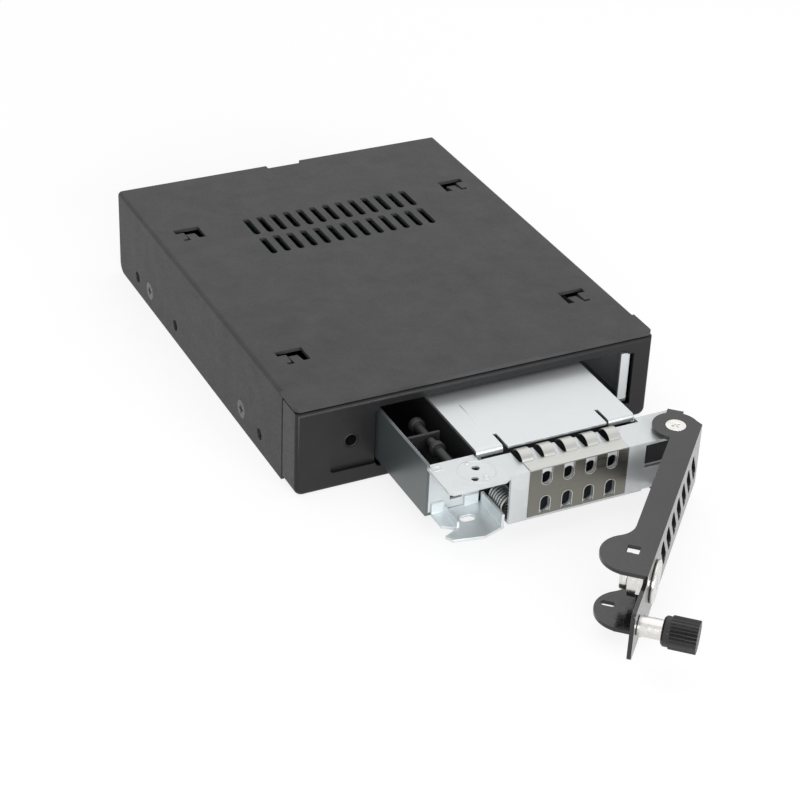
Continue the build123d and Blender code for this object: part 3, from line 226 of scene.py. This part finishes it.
def tinted(tree, factor, dark, light):
    """A colour that runs between two colours with a factor."""
    ramp = tree.nodes.new("ShaderNodeValToRGB")
    ramp.color_ramp.elements[0].position = NOISE_LOW
    ramp.color_ramp.elements[0].color = (*dark, 1)
    ramp.color_ramp.elements[1].position = NOISE_HIGH
    ramp.color_ramp.elements[1].color = (*light, 1)
    tree.links.new(factor, ramp.inputs["Fac"])
    return ramp.outputs["Color"]


def relief(tree, shader, height, strength, distance):
    """Fine relief on the surface, of a depth in metres."""
    bump = tree.nodes.new("ShaderNodeBump")
    bump.inputs["Strength"].default_value = strength
    bump.inputs["Distance"].default_value = distance
    tree.links.new(height, bump.inputs["Height"])
    tree.links.new(bump.outputs["Normal"], shader.inputs["Normal"])


def vary_roughness(tree, shader, factor, roughness, smoother, rougher):
    """Let the roughness run a little to both sides of its value with a factor."""
    tree.links.new(between(tree, factor, roughness - smoother, roughness + rougher),
                   shader.inputs["Roughness"])


def scaled(colour, share):
    """A colour made lighter or darker."""
    return tuple(min(1.0, part * share) for part in colour)


def below(tree, place, axis, limit):
    """One where the object's own coordinate along an axis is below a limit, and nought beyond it."""
    split = tree.nodes.new("ShaderNodeSeparateXYZ")
    tree.links.new(place, split.inputs["Vector"])
    less = tree.nodes.new("ShaderNodeMath")
    less.operation = "LESS_THAN"
    less.inputs[1].default_value = limit
    tree.links.new(split.outputs[axis], less.inputs[0])
    return less.outputs["Value"]


def either_colour(tree, factor, first, second):
    """The first colour where the factor is nought, the second where it is one."""
    mix = tree.nodes.new("ShaderNodeMix")
    mix.data_type = "RGBA"
    tree.links.new(factor, mix.inputs[MIX_FACTOR])
    tree.links.new(first, mix.inputs[MIX_FIRST])
    mix.inputs[MIX_SECOND].default_value = (*second, 1)
    return mix.outputs[MIX_RESULT]


def combined(tree, operation, first, second):
    """Two factors put together by an operation of arithmetic."""
    node = tree.nodes.new("ShaderNodeMath")
    node.operation = operation
    for socket, factor in zip(node.inputs, (first, second)):
        if isinstance(factor, float):
            socket.default_value = factor
        else:
            tree.links.new(factor, socket)
    return node.outputs["Value"]


def powder_coat(name, colour, roughness, shine, grain_scale=1900, paint_seam_shade=False):
    """Black powder coat: a fine pebbled skin with faint clouds; flanges behind the seam may be painted black
    as shade in the seam.
    """
    material, tree, shader, place = new_material(name, colour, 0.0, roughness)
    shader.inputs["Specular IOR Level"].default_value = shine
    clouds = noise(tree, place, scale=140, detail=6)
    skin = tinted(tree, clouds, dark=scaled(colour, 0.82), light=scaled(colour, 1.18))
    # Painted shade: black on the flanges behind the seam, above the floor
    if paint_seam_shade:
        above_floor = combined(tree, "SUBTRACT", 1.0, below(tree, place, "Z", CHASSIS_FLOOR_Z))
        seam_shade = combined(tree, "MULTIPLY", below(tree, place, "Y", SEAM_BACK_Y), above_floor)
        skin = either_colour(tree, seam_shade, skin, PAINTED_SHADE_BLACK)
    tree.links.new(skin, shader.inputs["Base Color"])
    grain = noise(tree, place, grain_scale, detail=1)
    vary_roughness(tree, shader, grain, roughness, smoother=0.07, rougher=0.07)
    relief(tree, shader, grain, strength=0.4, distance=0.05 * MM)
    return material


def painted_tray_shade(tree, place, skin):
    """The tray's painted shade: a slate-dark colour on its left wall and on its floor behind the front wall,
    where shade and dark reflections fall.
    """
    behind_latch = combined(tree, "SUBTRACT", 1.0, below(tree, place, "Y", LATCH_WALL_Y))
    wall = combined(tree, "MULTIPLY", below(tree, place, "X", WALL_SHADE_X), behind_latch)
    behind_front = combined(tree, "SUBTRACT", 1.0, below(tree, place, "Y", FRONT_WALL_Y))
    floor = combined(tree, "MULTIPLY", below(tree, place, "Z", FLOOR_SHADE_Z), behind_front)
    return either_colour(tree, combined(tree, "MAXIMUM", wall, floor), skin, SLATE_PAINTED_SHADE)


def zinc_sheet(name, colour, roughness, spangle_depth, metallic, paint_tray_shade=False):
    """Galvanised sheet: spangle, the fainter the nearer its depth is to 1, and a broad haze."""
    material, tree, shader, place = new_material(name, colour, metallic, roughness)
    spangle = cells(tree, place, scale=260)
    skin = tinted(tree, spangle, dark=scaled(colour, spangle_depth), light=colour)
    # Painted shade on the tray's left wall and floor
    if paint_tray_shade:
        skin = painted_tray_shade(tree, place, skin)
    tree.links.new(skin, shader.inputs["Base Color"])
    haze = noise(tree, place, scale=70, detail=1)
    vary_roughness(tree, shader, haze, roughness, smoother=0.015, rougher=0.025)
    return material


def brushed(name, colour, roughness, scale, strength, shade_below=None):
    """Bright metal with a grain that runs one way; below a limit on an axis it may take a painted shade
    colour.
    """
    material, tree, shader, place = new_material(name, colour, 1.0, roughness)
    grain = noise(tree, stretched(tree, place, scale), scale=1, detail=4)
    skin = tinted(tree, grain, dark=scaled(colour, 0.92), light=scaled(colour, 1.06))
    # Painted shade: a darker colour below the limit
    if shade_below:
        axis, limit, shade_colour = shade_below
        skin = either_colour(tree, below(tree, place, axis, limit), skin, shade_colour)
    tree.links.new(skin, shader.inputs["Base Color"])
    vary_roughness(tree, shader, grain, roughness, smoother=0.06, rougher=0.08)
    relief(tree, shader, grain, strength, distance=0.015 * MM)
    return material


def plastic(name, colour, roughness, grain_scale=1800):
    """Moulded plastic with a fine matt grain."""
    material, tree, shader, place = new_material(name, colour, 0.0, roughness)
    grain = noise(tree, place, grain_scale, detail=2)
    skin = tinted(tree, grain, dark=scaled(colour, 0.85), light=scaled(colour, 1.15))
    tree.links.new(skin, shader.inputs["Base Color"])
    vary_roughness(tree, shader, grain, roughness, smoother=0.06, rougher=0.06)
    relief(tree, shader, grain, strength=0.2, distance=0.02 * MM)
    return material


def solder_resist(name, colour, roughness):
    """Green board skin with pale copper traces under it."""
    material, tree, shader, place = new_material(name, colour, 0.0, roughness)
    texture = tree.nodes.new("ShaderNodeTexBrick")
    texture.inputs["Scale"].default_value = 120
    texture.inputs["Mortar Size"].default_value = 0.03
    texture.inputs["Color1"].default_value = (*colour, 1)
    texture.inputs["Color2"].default_value = (*scaled(colour, 1.1), 1)
    texture.inputs["Mortar"].default_value = (*scaled(colour, 1.9), 1)
    tree.links.new(stretched(tree, place, scale=(1, 8, 1)), texture.inputs["Vector"])
    tree.links.new(texture.outputs["Color"], shader.inputs["Base Color"])
    return material


# Finishes, each with its colour and roughness

cover_coat = powder_coat("cover_powder_coat", (0.066, 0.066, 0.067), 0.52, 0.22)
# Chassis coat, with painted shade on its flanges behind the seam
chassis_coat = powder_coat("chassis_powder_coat", (0.060, 0.060, 0.061), 0.55, 0.15,
                           paint_seam_shade=True)
bezel_coat = powder_coat("bezel_coat", (0.0125, 0.0125, 0.0135), 0.40, 0.30)
lever_coat = powder_coat("lever_powder_coat", (0.019, 0.018, 0.020), 0.18, 0.5,
                         grain_scale=1300)
screw_black = plastic("screw_black", (0.020, 0.020, 0.021), 0.25)
# The tray's sheet, with painted shade on its left wall and floor
zinc = zinc_sheet("galvanised_sheet", (0.70, 0.73, 0.74), 0.30, 0.96, 0.4, paint_tray_shade=True)
plate_zinc = zinc_sheet("cover_plate_sheet", (0.62, 0.645, 0.655), 0.36, 0.99, 0.8)
latch_zinc = zinc_sheet("latch_bracket_sheet", (0.78, 0.83, 0.85), 0.34, 0.96, 0.4)
# The clip's steel, with painted shade on its face below the fold
clip_steel = brushed("clip_spring_steel", (0.48, 0.48, 0.46), 0.30, (60, 1500, 1500), 0.05,
                     ("Z", CLIP_FOLD_Z, CLIP_FACE_SHADE))
spring_wire = brushed("spring_wire", (0.42, 0.44, 0.43), 0.3, (2500, 2500, 2500), 0.05)
# Painted highlight: a lighter copy of the clip's steel, for the beads along its holes
bead_highlight_steel = brushed("clip_bead_painted_highlight", (0.66, 0.66, 0.64), 0.3, (2500, 2500, 2500), 0.05)
gold = brushed("gold_contact", (0.83, 0.62, 0.28), 0.25, (400, 2500, 2500), 0.05)
nickel = brushed("nickel_plate", (0.70, 0.69, 0.67), 0.22, (1500, 1500, 1500), 0.02)
# Port shell, with painted shade inside it behind its mouth
port_shell = brushed("data_port_shell", (0.84, 0.83, 0.81), 0.3, (1500, 1500, 1500), 0.02,
                     ("Y", PORT_MOUTH_Y, PAINTED_SHADE_BLACK))
black_plastic = plastic("black_plastic", (0.012, 0.012, 0.013), 0.5)
black_knob = plastic("black_anodised_knob", (0.009, 0.009, 0.010), 0.45, grain_scale=2600)
board_green = solder_resist("board_solder_resist", (0.015, 0.09, 0.04), 0.35)

# Every node but the two springs: edge radius in millimetres, finish, slot and, if not 2, edge segments
FINISHES = (
    ("cover", 0.25, cover_coat, "black_coat"),
    ("bezel", 0.3, bezel_coat, "black_coat", 3),
    ("chassis", 0.1, chassis_coat, "black_coat"),
    ("cover_screws", 0.1, screw_black, "black_knob"),
    ("catch_nut", 0.15, black_knob, "nickel"),
    ("left_rail", 0.2, black_plastic, "black_plastic"),
    ("right_rail", 0.2, black_plastic, "black_plastic"),
    ("backplane", 0.1, board_green, "board"),
    ("board_screws", 0.15, nickel, "nickel"),
    ("drive_connector", 0.2, black_plastic, "black_plastic"),
    ("data_port", 0.15, port_shell, "nickel"),
    ("power_inlet", 0.2, black_plastic, "black_plastic"),
    ("tray", 0.15, zinc, "galvanised"),
    ("pivot_screw", 0.15, nickel, "nickel"),
    ("pivot_spacer", 0.25, black_plastic, "black_plastic"),
    ("drive_carrier", 0.2, black_plastic, "black_plastic"),
    ("drive_plate", 0.15, plate_zinc, "bright_plate"),
    ("shield_clip", 0.04, clip_steel, "stainless"),
    ("latch_plate", 0.15, latch_zinc, "galvanised"),
    ("rod_bracket", 0.15, black_plastic, "black_plastic"),
    ("push_rod", 0.15, black_plastic, "black_plastic"),
    ("lever", 0.18, lever_coat, "black_coat"),
    ("lock_barrel", 0.15, nickel, "nickel"),
    ("lock_nut", 0.2, nickel, "nickel"),
    ("lock_plug", 0.12, nickel, "nickel"),
    ("lock_cam", 0.15, nickel, "nickel"),
    ("screw_sleeve", 0.15, nickel, "nickel"),
    ("thumb_screw", 0.12, black_knob, "black_knob"),
)
for node, width, material, slot, *segments in FINISHES:
    rounded(node, width, material, slot, *segments)


# Modelling by hand, in millimetres

# How far apart two places may be and still be the same, and how far a normal looks up on a top face
NEAR = 0.01
FACES_UP = 0.9
WIRE_SIDES, COIL_STEPS = 10, 28


def new_block(name, low, high):
    """A block between two corners, to be shaped further."""
    bpy.ops.object.select_all(action="DESELECT")
    bpy.ops.mesh.primitive_cube_add(size=1, location=[(a + b) / 2 * MM for a, b in zip(low, high)],
                                    scale=[(b - a) * MM for a, b in zip(low, high)])
    obj = bpy.context.object
    obj.name = name
    settle(obj)
    return obj


def new_disc(name, at, radius, height, sides=32):
    """An upright cylinder that stands on a place, to be shaped further."""
    bpy.ops.object.select_all(action="DESELECT")
    bpy.ops.mesh.primitive_cylinder_add(vertices=sides, radius=radius * MM, depth=height * MM,
                                        location=(at[0] * MM, at[1] * MM, (at[2] + height / 2) * MM))
    obj = bpy.context.object
    obj.name = name
    settle(obj)
    return obj


def pick(obj, kind, wanted):
    """In edit mode, select the vertices or faces for which a test on their place and normal holds."""
    bpy.ops.mesh.select_mode(type="VERT")
    bpy.ops.mesh.select_all(action="DESELECT")
    bpy.ops.mesh.select_mode(type=kind)
    bpy.ops.object.mode_set(mode="OBJECT")
    if kind == "VERT":
        for vertex in obj.data.vertices:
            vertex.select = wanted(vertex.co / MM, vertex.normal)
    else:
        for face in obj.data.polygons:
            face.select = wanted(face.center / MM, face.normal)
    bpy.ops.object.mode_set(mode="EDIT")


def top_face(height):
    """Test for the flat faces at a height that look up."""
    return lambda place, normal: normal.z > FACES_UP and abs(place.z - height) < NEAR


def inset_top(obj, height, width, lift):
    """Inset the top faces at a height, and raise or sink what is inside."""
    only(obj)
    bpy.ops.object.mode_set(mode="EDIT")
    pick(obj, "FACE", top_face(height))
    bpy.ops.mesh.inset(thickness=width * MM, depth=0)
    bpy.ops.mesh.extrude_region_move(TRANSFORM_OT_translate={"value": (0, 0, lift * MM)})
    bpy.ops.object.mode_set(mode="OBJECT")


def joined(name, pieces):
    """One piece out of several."""
    bpy.ops.object.select_all(action="DESELECT")
    for piece in pieces:
        piece.select_set(True)
    bpy.context.view_layer.objects.active = pieces[0]
    bpy.ops.object.join()
    obj = bpy.context.object
    obj.name = name
    return obj


def coil(name, radius, wire, turns, pitch):
    """A wire wound round the z axis from nought upwards, with its two ends closed."""
    bpy.ops.object.select_all(action="DESELECT")
    bpy.ops.mesh.primitive_circle_add(vertices=WIRE_SIDES, radius=wire / 2 * MM,
                                      location=(radius * MM, 0, 0), rotation=(math.pi / 2, 0, 0))
    obj = bpy.context.object
    obj.name = name
    settle(obj)
    add_modifier(obj, "SCREW", axis="Z", steps=COIL_STEPS, render_steps=COIL_STEPS, iterations=turns,
                 screw_offset=pitch * MM, use_normal_calculate=True, use_merge_vertices=True,
                 merge_threshold=MERGE_DISTANCE / 2)
    only(obj)
    bpy.ops.object.mode_set(mode="EDIT")
    bpy.ops.mesh.select_all(action="SELECT")
    bpy.ops.mesh.fill_holes(sides=0)
    bpy.ops.mesh.select_all(action="SELECT")
    bpy.ops.mesh.normals_make_consistent(inside=False)
    bpy.ops.object.mode_set(mode="OBJECT")
    return obj


def placed(obj, matrix):
    """Bring a piece that was made at the origin to its place, and settle it there."""
    obj.matrix_world = matrix
    settle(obj)


def finish(obj, material, body, slot, *replaced, bevel=0.0):
    """Round, shade and dress a piece that was made by hand."""
    if bevel:
        soften(obj, bevel)
    smooth(obj)
    dress(obj, material, body, slot, *replaced)


# Latch spring and thumb spring, wound from wire

ALONG_Y = Matrix.Rotation(-math.pi / 2, 4, "X")
LATCH_COIL_AT = (-9.65, -99.7, 8.95)
latch_coil = coil("latch_coil", radius=2.55, wire=0.6, turns=7, pitch=0.98)
placed(latch_coil, Matrix.Translation([part * MM for part in LATCH_COIL_AT]) @ ALONG_Y)
finish(latch_coil, spring_wire, "tray", "stainless", "latch_spring")

PIVOT_AT = (36.0, -99.2, 0.0)
LEVER_TURN = 47.0
THUMB_COIL_AT = (-71.35, -17.77, 12.55)
lever_frame = Matrix.Translation([part * MM for part in PIVOT_AT]) @ Matrix.Rotation(
    math.radians(LEVER_TURN), 4, "Z")
thumb_coil = coil("thumb_coil", radius=1.85, wire=0.32, turns=2, pitch=0.33)
placed(thumb_coil, lever_frame @ Matrix.Translation([part * MM for part in THUMB_COIL_AT]) @ ALONG_Y)
finish(thumb_coil, spring_wire, BODY_OF["thumb_spring"], "stainless", "thumb_spring")


# Marks and small parts on the latch shelf

SHELF_Z = 19.4
# Each pin's place and radius, how far its foot, rim and head lie below the shelf, and its rim and cup
SHELF_PINS = ((-17.5, -94.9, 0.93), (-19.8, -99.0, 0.83))
PIN_FOOT_DEPTH, PIN_RIM_DEPTH, PIN_HEAD_DEPTH = 1.3, 0.85, 0.5
PIN_RIM, PIN_CUP, PIN_CUP_DEPTH = 0.4, 0.25, 0.5
pins = []
for index, (x, y, radius) in enumerate(SHELF_PINS):
    pin = new_disc("shelf_pin_%d" % index, (x, y, SHELF_Z - PIN_FOOT_DEPTH), radius + PIN_RIM,
                   PIN_FOOT_DEPTH - PIN_RIM_DEPTH)
    inset_top(pin, SHELF_Z - PIN_RIM_DEPTH, PIN_RIM, PIN_RIM_DEPTH - PIN_HEAD_DEPTH)
    inset_top(pin, SHELF_Z - PIN_HEAD_DEPTH, PIN_CUP, -PIN_CUP_DEPTH)
    pins.append(pin)
finish(joined("shelf_pins", pins), black_plastic, "tray", "black_plastic", bevel=0.05)


def pressed_ring(name, at, radius, width, height):
    """A low ring pressed up from the sheet."""
    bpy.ops.object.select_all(action="DESELECT")
    bpy.ops.mesh.primitive_torus_add(major_radius=radius * MM, minor_radius=width / 2 * MM,
                                     major_segments=64, minor_segments=10,
                                     location=[part * MM for part in at])
    obj = bpy.context.object
    obj.name = name
    only(obj)
    bpy.ops.object.mode_set(mode="EDIT")
    bpy.ops.mesh.select_all(action="SELECT")
    bpy.ops.transform.resize(value=(1, 1, 2 * height / width))
    bpy.ops.object.mode_set(mode="OBJECT")
    settle(obj)
    return obj


MARK_ROOT = 0.1
PAD_RISE, DOT_RISE = 0.12, 0.15
marks = [pressed_ring("shelf_ring", (-17.9, -96.4, SHELF_Z), radius=4.7, width=0.5, height=0.07),
         pressed_ring("shelf_curl", (-16.9, -99.5, SHELF_Z), radius=0.75, width=0.35, height=0.16)]
pad = new_block("shelf_pad", (-27.5, -92.7, SHELF_Z - MARK_ROOT), (-24.9, -90.5, SHELF_Z + PAD_RISE))
inset_top(pad, SHELF_Z + PAD_RISE, width=0.35, lift=-0.1)
dot = new_disc("shelf_dot", (-18.6, -92.5, SHELF_Z - MARK_ROOT), radius=0.55,
               height=MARK_ROOT + DOT_RISE, sides=24)
inset_top(dot, SHELF_Z + DOT_RISE, width=0.2, lift=0.06)
rib = new_block("plate_rib", (-9.3, -80.0, 20.65), (-8.95, -70.0, 20.74))
finish(joined("shelf_marks", marks + [pad, dot]), zinc, "tray", "galvanised", bevel=0.04)
finish(rib, plate_zinc, "tray", "bright_plate", bevel=0.03)


# Painted shade: a dark block behind the slot in the latch wall

SHADE_BLOCK_TOP = 11.0
slot_shade_block = new_block("slot_shade_block", (-22.2, -89.5, 7.6), (-17.5, -88.9, SHADE_BLOCK_TOP))
inset_top(slot_shade_block, SHADE_BLOCK_TOP, width=0.15, lift=-0.1)
finish(slot_shade_block, black_plastic, "tray", "black_plastic", bevel=0.08)


# Beads along the shielding clip's holes, in a lighter steel that paints a highlight on the hole edges

HOLE_XS = (-1.405, 4.665, 10.735, 16.805)
HOLE_HALF = 1.35
CLIP_FACE_Y = -101.55
BEAD_REACH, BEAD_WIDTH = 0.14, 0.2
# Heights of the round end and the square end of each row's holes
UPPER_ENDS, LOWER_ENDS = (16.05, 19.3), (9.95, 6.7)


def hole_bead(x, round_z, square_z):
    """A bead pressed out along a hole's two sides and its round end."""
    bpy.ops.object.select_all(action="DESELECT")
    bpy.ops.mesh.primitive_circle_add(vertices=32, radius=(HOLE_HALF + BEAD_WIDTH / 2) * MM,
                                      location=(x * MM, CLIP_FACE_Y * MM, round_z * MM),
                                      rotation=(math.pi / 2, 0, 0))
    obj = bpy.context.object
    settle(obj)
    side = 1 if square_z > round_z else -1
    bpy.ops.object.mode_set(mode="EDIT")
    pick(obj, "VERT", lambda place, normal: side * (place.z - round_z) > NEAR)
    bpy.ops.mesh.delete(type="VERT")
    pick(obj, "VERT", lambda place, normal: abs(place.z - round_z) < NEAR)
    bpy.ops.mesh.extrude_region_move(TRANSFORM_OT_translate={"value": (0, 0, (square_z - round_z) * MM)})
    bpy.ops.mesh.select_all(action="SELECT")
    bpy.ops.mesh.extrude_region_move(TRANSFORM_OT_translate={"value": (0, -BEAD_REACH * MM, 0)})
    bpy.ops.object.mode_set(mode="OBJECT")
    add_modifier(obj, "SOLIDIFY", thickness=BEAD_WIDTH * MM, offset=0)
    only(obj)
    bpy.ops.object.mode_set(mode="EDIT")
    bpy.ops.mesh.select_all(action="SELECT")
    bpy.ops.mesh.normals_make_consistent(inside=False)
    bpy.ops.object.mode_set(mode="OBJECT")
    return obj


beads = [hole_bead(x, *ends) for x in HOLE_XS for ends in (UPPER_ENDS, LOWER_ENDS)]
finish(joined("clip_beads", beads), bead_highlight_steel, "tray", "stainless", bevel=0.05)


# Contacts in the two rear ports

CONTACT_PITCH, CONTACT_WIDTH = 1.27, 0.6
PORT_END_ROOM = 7.0
CONTACT_DEPTHS = (4.0, 1.3)
CONTACT_RISES = (0.45, 0.62)
for node in ("data_port", "power_inlet"):
    low, high = (Vector(corner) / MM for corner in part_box(node))
    middle_z = (low.z + high.z) / 2
    count = int((high.x - low.x - PORT_END_ROOM) / CONTACT_PITCH)
    first_x = (low.x + high.x) / 2 - (count - 1) * CONTACT_PITCH / 2
    front_corner = (first_x - CONTACT_WIDTH / 2, high.y - CONTACT_DEPTHS[0], middle_z + CONTACT_RISES[0])
    rear_corner = (first_x + CONTACT_WIDTH / 2, high.y - CONTACT_DEPTHS[1], middle_z + CONTACT_RISES[1])
    contact = new_block(node + "_contacts", front_corner, rear_corner)
    add_modifier(contact, "ARRAY", count=count, use_relative_offset=False, use_constant_offset=True,
                 constant_offset_displace=(CONTACT_PITCH * MM, 0, 0))
    finish(contact, gold, BODY_OF[node], "nickel", bevel=0.05)


# Floor, lights and camera, with places in metres

FLOOR_SIZE, FLOOR_Z, FLOOR_ROUGHNESS = 12, -0.0002, 0.9
FLOOR_BOUNCE = (0.42, 0.42, 0.42)
FLOOR_SEEN = (0.30, 0.30, 0.30, 1)
WHITE = (1, 1, 1, 1)
# The floor's own glow near the object and far from it, and where the one turns into the other
FLOOR_GLOW = (0.81, 0.97)
GLOW_REACH = (0.5, 2.5)
WORLD_FALLING, WORLD_SEEN = 0.3, 1.0
AIM = (0, -0.04, 0.01)


def seen_rays(tree):
    """One for what the camera sees, straight or in metal or glass, and nought for light that falls."""
    light_path = tree.nodes.new("ShaderNodeLightPath")
    total = light_path.outputs["Is Camera Ray"]
    for name in ("Is Glossy Ray", "Is Transmission Ray"):
        either = tree.nodes.new("ShaderNodeMath")
        either.operation = "MAXIMUM"
        tree.links.new(total, either.inputs[0])
        tree.links.new(light_path.outputs[name], either.inputs[1])
        total = either.outputs[0]
    return total


def stage_floor():
    """Pale floor that looks white as far as it goes, and throws back less light than that."""
    bpy.ops.object.select_all(action="DESELECT")
    bpy.ops.mesh.primitive_plane_add(size=FLOOR_SIZE, location=(0, 0, FLOOR_Z))
    floor = bpy.context.object
    floor.name = "floor"
    material, tree, shader, place = new_material("pale_floor", FLOOR_BOUNCE, 0.0, FLOOR_ROUGHNESS)
    shader.inputs["Specular IOR Level"].default_value = 0.0
    seen = tree.nodes.new("ShaderNodeBsdfPrincipled")
    seen.inputs["Base Color"].default_value = FLOOR_SEEN
    seen.inputs["Roughness"].default_value = FLOOR_ROUGHNESS
    seen.inputs["Specular IOR Level"].default_value = 0.0
    seen.inputs["Emission Color"].default_value = WHITE
    reach = tree.nodes.new("ShaderNodeVectorMath")
    reach.operation = "LENGTH"
    tree.links.new(place, reach.inputs[0])
    glow = tree.nodes.new("ShaderNodeMapRange")
    for socket, value in zip(("From Min", "From Max", "To Min", "To Max"), (*GLOW_REACH, *FLOOR_GLOW)):
        glow.inputs[socket].default_value = value
    tree.links.new(reach.outputs["Value"], glow.inputs["Value"])
    tree.links.new(glow.outputs["Result"], seen.inputs["Emission Strength"])
    mix = tree.nodes.new("ShaderNodeMixShader")
    tree.links.new(seen_rays(tree), mix.inputs[0])
    tree.links.new(shader.outputs[0], mix.inputs[1])
    tree.links.new(seen.outputs[0], mix.inputs[2])
    tree.links.new(mix.outputs[0], tree.nodes["Material Output"].inputs["Surface"])
    floor.data.materials.append(material)


def softbox(name, at, size, power):
    """A large soft lamp at a place, turned towards the object."""
    lamp = bpy.data.lights.new(name, "AREA")
    lamp.shape = "RECTANGLE"
    lamp.size, lamp.size_y = size
    lamp.energy = power
    obj = bpy.data.objects.new(name, lamp)
    obj.location = at
    obj.rotation_euler = (Vector(AIM) - Vector(at)).to_track_quat("-Z", "Y").to_euler()
    bpy.context.scene.collection.objects.link(obj)


stage_floor()
# Each softbox with its place, its size and its power in watts
SOFTBOXES = (
    ("top_softbox", (0.0, 0.35, 1.2), (1.6, 1.6), 3.8),
    ("back_softbox", (0.58, 1.13, 0.85), (1.7, 1.2), 1.3),
    ("left_softbox", (-1.2, 0.1, 0.4), (0.8, 0.6), 0.3),
    ("front_softbox", (-0.1, -1.1, 0.25), (1.2, 0.7), 13.5),
)
for name, at, size, power in SOFTBOXES:
    softbox(name, at, size, power)

world = bpy.data.worlds.new("studio")
bpy.context.scene.world = world
world.use_nodes = True
background = world.node_tree.nodes["Background"]
background.inputs["Color"].default_value = WHITE
level = world.node_tree.nodes.new("ShaderNodeMapRange")
level.inputs["To Min"].default_value = WORLD_FALLING
level.inputs["To Max"].default_value = WORLD_SEEN
world.node_tree.links.new(seen_rays(world.node_tree), level.inputs["Value"])
world.node_tree.links.new(level.outputs["Result"], background.inputs["Strength"])

# Camera with its angles in degrees, and its sensor and lens in millimetres
CAMERA_AT = (-0.23252, -0.47229, 0.30726)
CAMERA_TURN, CAMERA_RISE, CAMERA_ROLL = -27.194, 31.858, 2.496
CAMERA_SENSOR, CAMERA_LENS = 36, 97.875
camera_data = bpy.data.cameras.new("camera")
camera_data.sensor_width = CAMERA_SENSOR
camera_data.lens = CAMERA_LENS
camera = bpy.data.objects.new("camera", camera_data)
turn = Matrix.Rotation(math.radians(CAMERA_TURN), 4, "Z")
tilt = Matrix.Rotation(math.radians(90 - CAMERA_RISE), 4, "X")
roll = Matrix.Rotation(math.radians(CAMERA_ROLL), 4, "Z")
camera.matrix_world = Matrix.Translation(CAMERA_AT) @ turn @ tilt @ roll
bpy.context.scene.collection.objects.link(camera)
bpy.context.scene.camera = camera
bpy.context.scene.view_settings.view_transform = "Standard"

bpy.context.view_layer.update()
